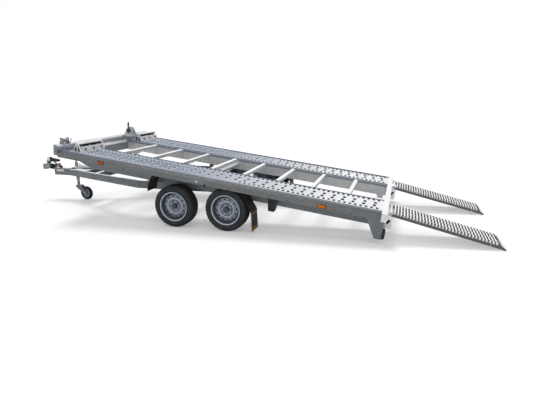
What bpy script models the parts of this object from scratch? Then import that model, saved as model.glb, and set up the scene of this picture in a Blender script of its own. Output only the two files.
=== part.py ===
"""Car hauler trailer with a tipping two-track bed, tandem wheels, hinged ramps and a jockey wheel.

Metres, +Z up, +X towards the coupling, +Y to the left. The origin is under the middle of the whole
trailer, on the ground. The bed is drawn tipped back with its ramps on the ground.
Bed pieces are drawn level, with u forward from the deck's rear edge, y to the left and w up from the
deck, and are then turned about the bed's pivot.
"""
import math

import bmesh
import bpy
from mathutils import Matrix, Vector

# Overall sizes
DECK_LENGTH = 4.17
DECK_HALF_WIDTH = 1.03
DECK_REAR_X = -2.064
BED_TILT = math.radians(7.78)
TYRE_ROOM = 0.0338

# Clearances: seat between touching pieces, play round a pin, room beside a moving piece
SEAT = 0.0003
PIN_PLAY = 0.0004
SIDE_PLAY = 0.006

# Sheet thicknesses
DECK_SHEET = 0.004
FRAME_SHEET = 0.005

# Bed: the two tracks, the rails along their outer sides and the webs below
TRACK_WIDTH = 0.495
TRACK_EDGE_DEPTH = 0.035
INNER_WEB_DEPTH = 0.155
INNER_WEB_LIP = 0.035
OUTER_WEB_INSET = 0.145
OUTER_WEB_DEPTH = 0.215
OUTER_WEB_LIP = 0.038
OUTER_WEB_NOSE = 0.34
OUTER_WEB_NOSE_DEPTH = 0.105
SIDE_RAIL_WIDTH = 0.095
SIDE_RAIL_DEPTH = 0.08
SIDE_RAIL_CROWN = 0.0
SIDE_RAIL_BEVEL = 0.04
SIDE_RAIL_LIP = 0.014
END_BEAM_WIDTH = 0.06
FRONT_BEAM_BELOW = 0.06
FRONT_BEAM_ABOVE = 0.073
FRONT_GROOVE_LOW = 0.003
FRONT_GROOVE_HIGH = 0.033
FRONT_GROOVE_DEPTH = 0.025
FRONT_CROWN_BEVEL = 0.012
FRONT_APRON_STANDOFF = 0.034
REAR_BEAM_DEPTH = 0.09
REAR_BEAM_OVERHANG = 0.015
RUNG_FIRST_U = 0.42
RUNG_PITCH = 0.447
RUNG_COUNT = 8
RUNG_WIDTH = 0.045
RUNG_DEPTH = 0.042
RUNG_DROP = 0.004
GUSSET_TOP_U = 0.145
GUSSET_REAR_U = -0.04
GUSSET_FOOT_U = 0.033
GUSSET_DEPTH = 0.29
GUSSET_THICKNESS = 0.008
INNER_GUSSET_DEPTH = 0.20
TRACK_OUTER_Y = DECK_HALF_WIDTH - SIDE_RAIL_WIDTH
TRACK_INNER_Y = TRACK_OUTER_Y - TRACK_WIDTH
OUTER_WEB_Y = TRACK_OUTER_Y - OUTER_WEB_INSET

# Rear lamps, behind the gusset plates
LAMP_INSET = 0.045
LAMP_W = -0.235
LAMP_RADIUS = 0.060
LAMP_DEPTH = 0.034

# Bed pivot
PIVOT_U = 2.18
PIVOT_W = -0.079
PIVOT_TUBE_RADIUS = 0.030
PIVOT_TUBE_WALL = 0.006
PIVOT_BRACKET_THICKNESS = 0.024
PIVOT_BRACKET_HALF_LENGTH = 0.08
PIVOT_BRACKET_CROWN = 0.048

# Wheels
WHEEL_RADIUS = 0.2625
WHEEL_HALF_WIDTH = 0.0975
FRONT_HUB_FROM_REAR = 2.463
AXLE_SPACING = 0.685
RIM_FLANGE_RADIUS = 0.182
RIM_SEAT_RADIUS = 0.165
RIM_HALF_WIDTH = 0.085
RIM_WALL = 0.005
DRUM_RADIUS = 0.088
HUB_CAP_RADIUS = 0.030
STUB_RADIUS = 0.020
ROUND_STEPS = 32

# Chassis
RAIL_BOTTOM = 0.392
RAIL_TOP = 0.488
RAIL_FLANGE = 0.040
RAIL_INSET = 0.37
RAIL_REAR_FROM_REAR = 1.22
RAIL_KINK_FROM_REAR = 3.17
RAIL_NOSE_FROM_REAR = 4.80
RAIL_NOSE_HALF_WIDTH = 0.075
CROSS_MEMBER_WIDTH = 0.06
CROSS_MEMBERS_FROM_REAR = (2.29, 3.05, 4.15)
AXLE_TUBE = 0.070
AXLE_TUBE_OVERHANG = 0.040
WHEEL_STANDOFF = 0.2125
DRUM_FACE_INSET = 0.050
RAIL_HALF_WIDTH = DECK_HALF_WIDTH - RAIL_INSET
RAIL_REAR_X = DECK_REAR_X + RAIL_REAR_FROM_REAR
RAIL_KINK_X = DECK_REAR_X + RAIL_KINK_FROM_REAR
RAIL_NOSE_X = DECK_REAR_X + RAIL_NOSE_FROM_REAR
AXLE_TUBE_HALF_LENGTH = RAIL_HALF_WIDTH + AXLE_TUBE_OVERHANG
WHEEL_Y = AXLE_TUBE_HALF_LENGTH + WHEEL_STANDOFF
ARM_THICKNESS = 0.042
ARM_REACH = 0.150
SPINDLE_RADIUS = 0.030
BACKPLATE_THICKNESS = 0.008

# Coupling end
OVERRUN_LENGTH = 0.28
OVERRUN_TOP = 0.500
SHAFT_Z = 0.508
GAITER_LENGTH = 0.125
GAITER_RADIUS = 0.038
GAITER_LAP = 0.002
HEAD_LENGTH = 0.11
HEAD_HALF_WIDTH = 0.034
HEAD_BOTTOM = 0.478
HEAD_TOP = 0.555
CUP_RADIUS = 0.043
BALL_RADIUS = 0.0255
BALL_ABOVE_HEAD_BOTTOM = 0.012
HANDLE_FOOT = 0.02
HANDLE_HALF_WIDTH = 0.016
GRIP_TOP = 0.660
GRIP_LENGTH = 0.19
GRIP_DEPTH = 0.036
LEVER_INSET = 0.02
LEVER_BACK = 0.13
LEVER_RISE = 0.085

# Jockey wheel
JOCKEY_FROM_REAR = 4.71
JOCKEY_TUBE_X = DECK_REAR_X + JOCKEY_FROM_REAR
JOCKEY_TUBE_RADIUS = 0.024
JOCKEY_TUBE_BOTTOM = 0.300
JOCKEY_TUBE_TOP = 0.590
JOCKEY_TRAIL = 0.135
JOCKEY_WHEEL_RADIUS = 0.105
JOCKEY_WHEEL_HALF_WIDTH = 0.0225
JOCKEY_PIN_RADIUS = 0.008
JOCKEY_CROWN_Z = 0.228
JOCKEY_LEG = 0.006

# Hand pump over the drawbar
PUMP_FROM_REAR = 4.38
PUMP_PLATE_LENGTH = 0.28
PUMP_TANK_RADIUS = 0.036

# Ramps
RAMP_HALF_WIDTH = 0.185
RAMP_INSET = 0.25
RAMP_CENTRE_Y = TRACK_OUTER_Y - RAMP_INSET
RAMP_LENGTH = 1.178
RAMP_ABOVE_AXIS = 0.022
RAMP_BELOW_AXIS = 0.028
RAMP_RAIL = 0.006
RAMP_BAR_RADIUS = 0.011
RAMP_HINGE_U = -0.095
RAMP_HINGE_W = -0.032
RAMP_TIP_LENGTH = 0.060
RAMP_FIRST_BAR = 0.036
RAMP_BAR_PITCH = 0.0335
RAMP_BAR_WIDTH = 0.014
RAMP_BAR_DEPTH = 0.016
RAMP_BAR_PROUD = 0.004
HINGE_LUG = 0.008

# Latch plates beside the ramps
LATCH_OFFSET_Y = 0.245
LATCH_THICKNESS = 0.006

# Mudguards
GUARD_SHEET = 0.004
GUARD_FRONT_U = 2.70
GUARD_REAR_U = 1.63
GUARD_SKIRT_DEPTH = 0.292
GUARD_FLAP_DEPTH = 0.520
GUARD_NOSE_SWEEP = 0.145
GUARD_NOSE_STEPS = 7

# Wheel stops
STOP_WIDTH = TRACK_WIDTH - 0.015
STOP_FROM_FRONT = 0.315
STOP_U = DECK_LENGTH - STOP_FROM_FRONT
STOP_LENGTH = 0.13
STOP_HEIGHT = 0.115
STOP_FOOT_HEIGHT = 0.060
STOP_FOOT_SLOPE = 0.022
STOP_FRAME = 0.012
STOP_BAR_RADIUS = 0.0155
STOP_BAR_PLACE = 0.068
STOP_OFFSET_Y = -0.0375

# Winch and corner roller
WINCH_FROM_FRONT = 0.165
WINCH_INSET = 0.04
WINCH_U = DECK_LENGTH - WINCH_FROM_FRONT
WINCH_W = 0.158
WINCH_Y = WINCH_INSET - TRACK_INNER_Y
WINCH_HALF_GAP = 0.040
WINCH_PLATE = 0.005
WINCH_SHAFT_RADIUS = 0.009
WINCH_DRUM_RADIUS = 0.028
WINCH_FLANGE_RADIUS = 0.060
WINCH_COVER_RADIUS = 0.074
WINCH_COVER_W = 0.115
CRANK_ARM = 0.085
CRANK_LENGTH = 0.134
CRANK_GRIP_RADIUS = 0.011
ROLLER_INSET = 0.165
ROLLER_Y = DECK_HALF_WIDTH - ROLLER_INSET
ROLLER_RADIUS = 0.028

# Wheel chocks stowed under the side rails
CHOCK_U = 1.13
CHOCK_LENGTH = 0.11
CHOCK_DEPTH = 0.145

# Tilt cylinder, from the second cross member up to a rung of the bed; its head's eye is wide
CYLINDER_RUNG = 8
CYLINDER_FROM_REAR = 3.14
CYLINDER_FOOT_X = DECK_REAR_X + CYLINDER_FROM_REAR
CYLINDER_FOOT_Z = 0.452
CYLINDER_HEAD_U = RUNG_FIRST_U + RUNG_PITCH * (CYLINDER_RUNG - 1) + 0.081
CYLINDER_HEAD_W = -0.088
CYLINDER_RADIUS = 0.028
CYLINDER_EYE_HALF = 0.017
CYLINDER_EYE_WALL = 0.0095
CYLINDER_PIN_RADIUS = 0.010
CYLINDER_HEAD_PLAY = 0.0062
CYLINDER_LUG = 0.008

REAR_HUB_FROM_REAR = FRONT_HUB_FROM_REAR - AXLE_SPACING
AXLE_X = (DECK_REAR_X + FRONT_HUB_FROM_REAR, DECK_REAR_X + REAR_HUB_FROM_REAR)
# The deck lies as low as the rear tyres and the mudguards over them let it
TYRE_TOP_BELOW_DECK = TRACK_EDGE_DEPTH + GUARD_SHEET + TYRE_ROOM
DECK_RISE_TO_TYRE = REAR_HUB_FROM_REAR * math.sin(BED_TILT)
DECK_REAR_HEIGHT = WHEEL_RADIUS + (WHEEL_RADIUS + TYRE_TOP_BELOW_DECK - DECK_RISE_TO_TYRE) / math.cos(BED_TILT)
CROSS_MEMBER_X = [DECK_REAR_X + place for place in CROSS_MEMBERS_FROM_REAR]
COUPLING_X = RAIL_NOSE_X + SEAT + OVERRUN_LENGTH
HEAD_REAR_X = COUPLING_X - GAITER_LAP + GAITER_LENGTH + SEAT
BALL_X = HEAD_REAR_X + HEAD_LENGTH
BALL_Z = HEAD_BOTTOM + BALL_ABOVE_HEAD_BOTTOM

# Colour, metallic and roughness of each finish
GALVANISED = ((0.52, 0.54, 0.56), 0.85, 0.45)
BRIGHT_STEEL = ((0.70, 0.71, 0.73), 0.95, 0.30)
DARK_STEEL = ((0.18, 0.19, 0.20), 0.80, 0.50)
WHEEL_PAINT = ((0.62, 0.66, 0.72), 0.60, 0.35)
TYRE_RUBBER = ((0.025, 0.026, 0.028), 0.0, 0.85)
BLACK_PLASTIC = ((0.03, 0.03, 0.032), 0.0, 0.55)
RED_LENS = ((0.60, 0.02, 0.02), 0.0, 0.20)

SIDES = (("left", 1.0), ("right", -1.0))


def clear_scene():
    """Remove every object that the file starts with."""
    for obj in list(bpy.data.objects):
        bpy.data.objects.remove(obj, do_unlink=True)


def make_collection(name):
    """Return a new collection linked to the scene."""
    collection = bpy.data.collections.new(name)
    bpy.context.scene.collection.children.link(collection)
    return collection


def make_material(name, finish):
    """Return a Principled material with a finish's colour, metallic and roughness."""
    colour, metallic, roughness = finish
    material = bpy.data.materials.new(name)
    material.use_nodes = True
    shader = material.node_tree.nodes["Principled BSDF"]
    shader.inputs["Base Color"].default_value = (*colour, 1.0)
    shader.inputs["Metallic"].default_value = metallic
    shader.inputs["Roughness"].default_value = roughness
    return material


def box(low, high):
    """Return a box between two corners."""
    bm = bmesh.new()
    bmesh.ops.create_cube(bm, size=1.0)
    size = [b - a for a, b in zip(low, high)]
    middle = [(a + b) / 2 for a, b in zip(low, high)]
    bmesh.ops.scale(bm, vec=size, verts=bm.verts)
    bmesh.ops.translate(bm, vec=middle, verts=bm.verts)
    return bm


def rod(start, end, radius, sides=16):
    """Return a cylinder between two points."""
    start = Vector(start)
    end = Vector(end)
    bm = bmesh.new()
    bmesh.ops.create_cone(bm, cap_ends=True, segments=sides, radius1=radius, radius2=radius,
                          depth=(end - start).length)
    turn = (end - start).to_track_quat("Z", "Y").to_matrix().to_4x4()
    bmesh.ops.transform(bm, matrix=Matrix.Translation((start + end) / 2) @ turn, verts=bm.verts)
    return bm


def prism(outline, axis, low, high):
    """Return a flat outline pushed along X, Y or Z; its points give the other two axes in order."""
    bm = bmesh.new()
    places = {"X": lambda a, b: (low, a, b), "Y": lambda a, b: (a, low, b), "Z": lambda a, b: (a, b, low)}
    verts = [bm.verts.new(places[axis](a, b)) for a, b in outline]
    face = bm.faces.new(verts)
    pushed = bmesh.ops.extrude_face_region(bm, geom=[face])["geom"]
    shift = Vector([(high - low) if axis == name else 0.0 for name in "XYZ"])
    bmesh.ops.translate(bm, vec=shift, verts=[v for v in pushed if isinstance(v, bmesh.types.BMVert)])
    bmesh.ops.recalc_face_normals(bm, faces=bm.faces)
    return bm


def turned(profile, axis="Y", closed=True, steps=ROUND_STEPS):
    """Return a profile of (radius, place along the axis) turned once about X or Y, from straight down."""
    bm = bmesh.new()
    spots = {"Y": lambda r, a: (0.0, a, -r), "X": lambda r, a: (a, 0.0, -r)}
    verts = [bm.verts.new(spots[axis](r, a)) for r, a in profile]
    pairs = list(zip(verts, verts[1:]))
    if closed:
        pairs.append((verts[-1], verts[0]))
    edges = [bm.edges.new(pair) for pair in pairs]
    spin_axis = (0.0, 1.0, 0.0) if axis == "Y" else (1.0, 0.0, 0.0)
    bmesh.ops.spin(bm, geom=verts + edges, cent=(0, 0, 0), axis=spin_axis, angle=math.tau, steps=steps)
    bmesh.ops.remove_doubles(bm, verts=bm.verts, dist=0.00002)
    bmesh.ops.recalc_face_normals(bm, faces=bm.faces)
    return bm


def moved(bm, shift):
    """Shift a shape and return it."""
    bmesh.ops.translate(bm, vec=shift, verts=bm.verts)
    return bm


def mirrored(bm, side):
    """Reflect a left-hand shape to the right when side is -1."""
    if side < 0:
        bmesh.ops.scale(bm, vec=(1.0, -1.0, 1.0), verts=bm.verts)
        bmesh.ops.reverse_faces(bm, faces=bm.faces)
    return bm


def gathered(shapes):
    """Return one shape that holds several shapes which don't meet."""
    whole = bmesh.new()
    for bm in shapes:
        mesh = bpy.data.meshes.new("shape")
        bm.to_mesh(mesh)
        bm.free()
        whole.from_mesh(mesh)
        bpy.data.meshes.remove(mesh)
    return whole


def boolean(base, tool, operation):
    """Return base joined with or cut by tool."""
    objects = []
    for name, bm in (("base", base), ("tool", tool)):
        mesh = bpy.data.meshes.new(name)
        bm.to_mesh(mesh)
        bm.free()
        obj = bpy.data.objects.new(name, mesh)
        bpy.context.scene.collection.objects.link(obj)
        objects.append(obj)
    change = objects[0].modifiers.new("change", "BOOLEAN")
    change.operation = operation
    change.solver = "EXACT"
    change.object = objects[1]
    bpy.context.view_layer.update()
    result = objects[0].evaluated_get(bpy.context.evaluated_depsgraph_get()).to_mesh()
    bm = bmesh.new()
    bm.from_mesh(result)
    for obj in objects:
        mesh = obj.data
        bpy.data.objects.remove(obj, do_unlink=True)
        bpy.data.meshes.remove(mesh)
    return bm


def joined(first, *others):
    """Return the union of shapes that meet."""
    for bm in others:
        first = boolean(first, bm, "UNION")
    return first


def cut(base, *cutters):
    """Return a shape with every cutter taken out of it."""
    for bm in cutters:
        base = boolean(base, bm, "DIFFERENCE")
    return base


def add_object(name, bm, finish, location=(0, 0, 0), tilt=0.0):
    """Make a named object of a shape, placed by its location and its tilt about Y."""
    mesh = bpy.data.meshes.new(name)
    bm.to_mesh(mesh)
    bm.free()
    mesh.shade_smooth()
    mesh.set_sharp_from_angle(angle=math.radians(32))
    mesh.materials.append(make_material(name, finish))
    obj = bpy.data.objects.new(name, mesh)
    obj.location = location
    obj.rotation_euler = (0.0, -tilt, 0.0)
    TRAILER.objects.link(obj)
    return obj


def deck_point(u, y, w):
    """Return the trailer point of a bed point with the bed tipped."""
    x = DECK_REAR_X + u * math.cos(BED_TILT) - w * math.sin(BED_TILT)
    z = DECK_REAR_HEIGHT + u * math.sin(BED_TILT) + w * math.cos(BED_TILT)
    return (x, y, z)


def add_to_bed(name, bm, finish, origin=(PIVOT_U, 0.0, PIVOT_W)):
    """Make an object of a shape drawn in bed places, with its origin at a bed point."""
    moved(bm, [-value for value in origin])
    return add_object(name, bm, finish, deck_point(*origin), BED_TILT)


def rail_half_width(x):
    """Return the distance of a chassis rail's outer face from the middle."""
    if x <= RAIL_KINK_X:
        return RAIL_HALF_WIDTH
    share = (x - RAIL_KINK_X) / (RAIL_NOSE_X - RAIL_KINK_X)
    return RAIL_HALF_WIDTH + share * (RAIL_NOSE_HALF_WIDTH - RAIL_HALF_WIDTH)


def build_chassis_rails():
    """Channel rails that run straight under the bed and then close in towards the coupling."""
    angle = math.atan2(RAIL_HALF_WIDTH - RAIL_NOSE_HALF_WIDTH, RAIL_NOSE_X - RAIL_KINK_X)
    miter = math.tan(angle / 2)
    stations = (
        (RAIL_REAR_X, RAIL_HALF_WIDTH, 0.0, 1.0),
        (RAIL_KINK_X, RAIL_HALF_WIDTH, miter, 1.0),
        (RAIL_NOSE_X, RAIL_NOSE_HALF_WIDTH, 0.0, 1.0 / math.cos(angle)),
    )
    section = (
        (0.0, RAIL_BOTTOM), (0.0, RAIL_TOP), (RAIL_FLANGE, RAIL_TOP), (RAIL_FLANGE, RAIL_TOP - FRAME_SHEET),
        (FRAME_SHEET, RAIL_TOP - FRAME_SHEET), (FRAME_SHEET, RAIL_BOTTOM + FRAME_SHEET),
        (RAIL_FLANGE, RAIL_BOTTOM + FRAME_SHEET), (RAIL_FLANGE, RAIL_BOTTOM),
    )
    pivot = deck_point(PIVOT_U, 0.0, PIVOT_W)
    for side_name, side in SIDES:
        bm = bmesh.new()
        rings = []
        for x, y, skew, stretch in stations:
            rings.append([bm.verts.new((x - inset * skew, y - inset * stretch, z)) for inset, z in section])
        bm.faces.new(rings[0])
        bm.faces.new(rings[-1])
        for ring, following in zip(rings, rings[1:]):
            for i in range(len(section)):
                j = (i + 1) % len(section)
                bm.faces.new((ring[i], ring[j], following[j], following[i]))
        bmesh.ops.recalc_face_normals(bm, faces=bm.faces)
        plate_outer = RAIL_HALF_WIDTH - FRAME_SHEET / 2
        plate = prism(
            [(pivot[0] - PIVOT_BRACKET_HALF_LENGTH, RAIL_BOTTOM + 0.02),
             (pivot[0] + PIVOT_BRACKET_HALF_LENGTH, RAIL_BOTTOM + 0.02),
             (pivot[0] + PIVOT_BRACKET_HALF_LENGTH, RAIL_TOP + 0.01),
             (pivot[0] + PIVOT_BRACKET_CROWN, pivot[2] + PIVOT_BRACKET_CROWN * 0.6),
             (pivot[0] + PIVOT_BRACKET_CROWN * 0.6, pivot[2] + PIVOT_BRACKET_CROWN),
             (pivot[0] - PIVOT_BRACKET_CROWN * 0.6, pivot[2] + PIVOT_BRACKET_CROWN),
             (pivot[0] - PIVOT_BRACKET_CROWN, pivot[2] + PIVOT_BRACKET_CROWN * 0.6),
             (pivot[0] - PIVOT_BRACKET_HALF_LENGTH, RAIL_TOP + 0.01)],
            "Y", plate_outer - PIVOT_BRACKET_THICKNESS, plate_outer)
        rail = joined(bm, plate)
        hole_radius = PIVOT_TUBE_RADIUS + PIN_PLAY
        hole = rod((pivot[0], plate_outer - 2 * PIVOT_BRACKET_THICKNESS, pivot[2]),
                   (pivot[0], RAIL_HALF_WIDTH + 0.01, pivot[2]), hole_radius, 24)
        add_object("chassis_rail_" + side_name, mirrored(cut(rail, hole), side), GALVANISED)


def build_cross_members():
    """Cross members between the chassis rails; the second carries the tilt cylinder's foot."""
    low = RAIL_BOTTOM + FRAME_SHEET + SEAT
    high = RAIL_TOP - FRAME_SHEET - SEAT
    for number, x in enumerate(CROSS_MEMBER_X, 1):
        rear = x - CROSS_MEMBER_WIDTH / 2
        front = x + CROSS_MEMBER_WIDTH / 2
        rear_y = rail_half_width(rear) - FRAME_SHEET * 1.1 - SEAT
        front_y = rail_half_width(front) - FRAME_SHEET * 1.1 - SEAT
        outline = [(rear, -rear_y), (front, -front_y), (front, front_y), (rear, rear_y)]
        beam = prism(outline, "Z", low, high)
        groove = box((rear - 0.01, -1.0, low + FRAME_SHEET), (front - FRAME_SHEET, 1.0, high - FRAME_SHEET))
        beam = cut(beam, groove)
        if number == 2:
            inner = CYLINDER_RADIUS + SIDE_PLAY
            outer = inner + CYLINDER_LUG
            for y_low, y_high in ((-outer, -inner), (inner, outer)):
                lug = prism(
                    [(front - 0.002, low + 0.01), (CYLINDER_FOOT_X + 0.018, CYLINDER_FOOT_Z - 0.018),
                     (CYLINDER_FOOT_X + 0.018, CYLINDER_FOOT_Z + 0.016), (front - 0.002, high - 0.004)],
                    "Y", y_low, y_high)
                beam = joined(beam, lug)
            pin_reach = inner + CYLINDER_LUG / 2
            start = (CYLINDER_FOOT_X, -pin_reach, CYLINDER_FOOT_Z)
            pin = rod(start, (CYLINDER_FOOT_X, pin_reach, CYLINDER_FOOT_Z), CYLINDER_PIN_RADIUS)
            beam = joined(beam, pin)
        add_object(f"cross_member_{number}", beam, GALVANISED)


def build_axles():
    """Torsion axle tubes with trailing arms, spindles and brake backplates."""
    tube_z = RAIL_BOTTOM - SEAT - AXLE_TUBE / 2
    half = AXLE_TUBE / 2
    for name, hub_x in zip(("front", "rear"), AXLE_X):
        tube_x = hub_x + ARM_REACH
        tube_end = AXLE_TUBE_HALF_LENGTH
        axle = box((tube_x - half, -tube_end, tube_z - half), (tube_x + half, tube_end, tube_z + half))
        drum_face = WHEEL_Y - DRUM_FACE_INSET
        for side in (1.0, -1.0):
            arm = prism(
                [(tube_x + half, tube_z - half * 0.7), (tube_x + half, tube_z + half * 0.7),
                 (tube_x + half * 0.4, tube_z + half), (tube_x - half, tube_z + half),
                 (hub_x - 0.02, WHEEL_RADIUS + 0.036), (hub_x - 0.036, WHEEL_RADIUS + 0.015),
                 (hub_x - 0.036, WHEEL_RADIUS - 0.02), (hub_x - 0.01, WHEEL_RADIUS - 0.038)],
                "Y", tube_end - 0.002, tube_end + ARM_THICKNESS)
            spindle = rod((hub_x, tube_end + 0.01, WHEEL_RADIUS),
                          (hub_x, drum_face - SIDE_PLAY, WHEEL_RADIUS), SPINDLE_RADIUS, 20)
            plate = rod((hub_x, drum_face - SIDE_PLAY - BACKPLATE_THICKNESS, WHEEL_RADIUS),
                        (hub_x, drum_face - SIDE_PLAY, WHEEL_RADIUS), DRUM_RADIUS, 24)
            stub = rod((hub_x, drum_face - SIDE_PLAY - 0.004, WHEEL_RADIUS),
                       (hub_x, WHEEL_Y + 0.050, WHEEL_RADIUS), STUB_RADIUS, ROUND_STEPS)
            end = joined(arm, spindle, plate, stub)
            axle = joined(axle, mirrored(end, side))
        add_object("axle_" + name, axle, GALVANISED)


def tyre_profile():
    """Half outline of the tyre as (radius, distance from the middle), from the bead to the crown."""
    bead = RIM_SEAT_RADIUS + SEAT
    bead_y = RIM_HALF_WIDTH - 0.007
    return (
        (bead, bead_y), (RIM_FLANGE_RADIUS + 0.001, bead_y),
        (RIM_FLANGE_RADIUS + 0.005, RIM_HALF_WIDTH + 0.002),
        (0.215, WHEEL_HALF_WIDTH), (0.242, WHEEL_HALF_WIDTH - 0.004), (0.2575, WHEEL_HALF_WIDTH - 0.018),
        (WHEEL_RADIUS, WHEEL_HALF_WIDTH - 0.036),
    )


def rim_profile():
    """Outline of the rim, disc and drum as (radius, place outwards), from the cap round to the bore."""
    edge = RIM_HALF_WIDTH
    inside = RIM_SEAT_RADIUS - RIM_WALL
    bore = STUB_RADIUS + PIN_PLAY
    return (
        (0.0, 0.076), (0.022, 0.074), (HUB_CAP_RADIUS, 0.064), (HUB_CAP_RADIUS, 0.036), (0.072, 0.034),
        (0.090, 0.052), (0.134, 0.054), (0.150, 0.038), (inside, 0.038), (inside, edge - 0.002),
        (RIM_FLANGE_RADIUS, edge), (RIM_FLANGE_RADIUS, edge - 0.005), (RIM_SEAT_RADIUS, edge - 0.006),
        (RIM_SEAT_RADIUS, 0.006 - edge), (RIM_FLANGE_RADIUS, 0.005 - edge), (RIM_FLANGE_RADIUS, -edge),
        (inside, 0.002 - edge), (inside, 0.032), (0.148, 0.032), (0.132, 0.048), (DRUM_RADIUS, 0.044),
        (DRUM_RADIUS, -DRUM_FACE_INSET), (bore, -DRUM_FACE_INSET), (bore, 0.056), (0.0, 0.056),
    )


def build_wheels():
    """Four rims with their brake drums, and their tyres."""
    half = tyre_profile()
    loop = list(half) + [(r, -y) for r, y in reversed(half)]
    for end, hub_x in zip(("front", "rear"), AXLE_X):
        for side_name, side in SIDES:
            place = (hub_x, side * WHEEL_Y, WHEEL_RADIUS)
            rim = turned(rim_profile(), closed=False)
            add_object(f"rim_{end}_{side_name}", mirrored(rim, side), WHEEL_PAINT, place)
            add_object(f"tyre_{end}_{side_name}", turned(loop), TYRE_RUBBER, place)


def build_coupling():
    """Overrun housing with its gaiter, the ball coupling head, its handle and the handbrake lever."""
    housing = box((RAIL_NOSE_X + SEAT, -RAIL_NOSE_HALF_WIDTH, RAIL_BOTTOM),
                  (COUPLING_X, RAIL_NOSE_HALF_WIDTH, OVERRUN_TOP))
    nose = rod((COUPLING_X - 0.01, 0, SHAFT_Z - 0.04), (COUPLING_X + 0.02, 0, SHAFT_Z - 0.02), 0.045, 20)
    rings = 5
    profile = [(0.0, 0.0)]
    for i in range(rings):
        profile.append((GAITER_RADIUS * 0.8, GAITER_LENGTH * i / rings))
        profile.append((GAITER_RADIUS, GAITER_LENGTH * (i + 0.5) / rings))
    profile += [(GAITER_RADIUS * 0.8, GAITER_LENGTH), (0.0, GAITER_LENGTH)]
    gaiter = moved(turned(profile, "X", closed=False, steps=20), (COUPLING_X - GAITER_LAP, 0, SHAFT_Z))
    add_object("overrun_unit", joined(housing, nose, gaiter), GALVANISED)

    body = box((HEAD_REAR_X, -HEAD_HALF_WIDTH, HEAD_BOTTOM), (BALL_X, HEAD_HALF_WIDTH, HEAD_TOP))
    cup = rod((BALL_X, 0, HEAD_BOTTOM - 0.012), (BALL_X, 0, HEAD_TOP - 0.008), CUP_RADIUS, 24)
    ball = bmesh.new()
    bmesh.ops.create_uvsphere(ball, u_segments=20, v_segments=12, radius=BALL_RADIUS)
    moved(ball, (BALL_X, 0, BALL_Z))
    mouth = rod((BALL_X, 0, HEAD_BOTTOM - 0.05), (BALL_X, 0, HEAD_BOTTOM + 0.010), BALL_RADIUS * 0.97, 17)
    add_object("coupling_head", cut(joined(body, cup), mouth, ball), GALVANISED)

    # The handle stands on the head, and its grip lies back over the gaiter
    foot_x = HEAD_REAR_X + HANDLE_FOOT
    foot_z = HEAD_TOP + SEAT
    tail_x = foot_x - GRIP_LENGTH
    grip_z = GRIP_TOP - GRIP_DEPTH
    handle = prism(
        [(foot_x, foot_z), (foot_x + 0.045, foot_z), (foot_x + 0.052, foot_z + 0.045),
         (foot_x + 0.022, GRIP_TOP), (foot_x - 0.020, GRIP_TOP), (foot_x - 0.060, GRIP_TOP - 0.016),
         (tail_x, grip_z), (tail_x - 0.006, grip_z - 0.020), (tail_x + 0.015, grip_z - GRIP_DEPTH),
         (foot_x - 0.020, grip_z - GRIP_DEPTH)],
        "Y", -HANDLE_HALF_WIDTH, HANDLE_HALF_WIDTH)
    add_object("coupling_handle", handle, BLACK_PLASTIC)

    y = RAIL_NOSE_HALF_WIDTH - LEVER_INSET
    foot = COUPLING_X - LEVER_BACK
    head = COUPLING_X - 0.012
    head_z = OVERRUN_TOP + LEVER_RISE
    lever = joined(
        rod((foot, y, OVERRUN_TOP + SEAT), (foot, y, OVERRUN_TOP + 0.02), 0.016),
        rod((foot, y, OVERRUN_TOP + 0.012), (head, y, head_z), 0.008),
        rod((head - 0.018, y, head_z - 0.011), (head + 0.015, y, head_z + 0.009), 0.012))
    add_object("handbrake_lever", lever, DARK_STEEL)


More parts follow.
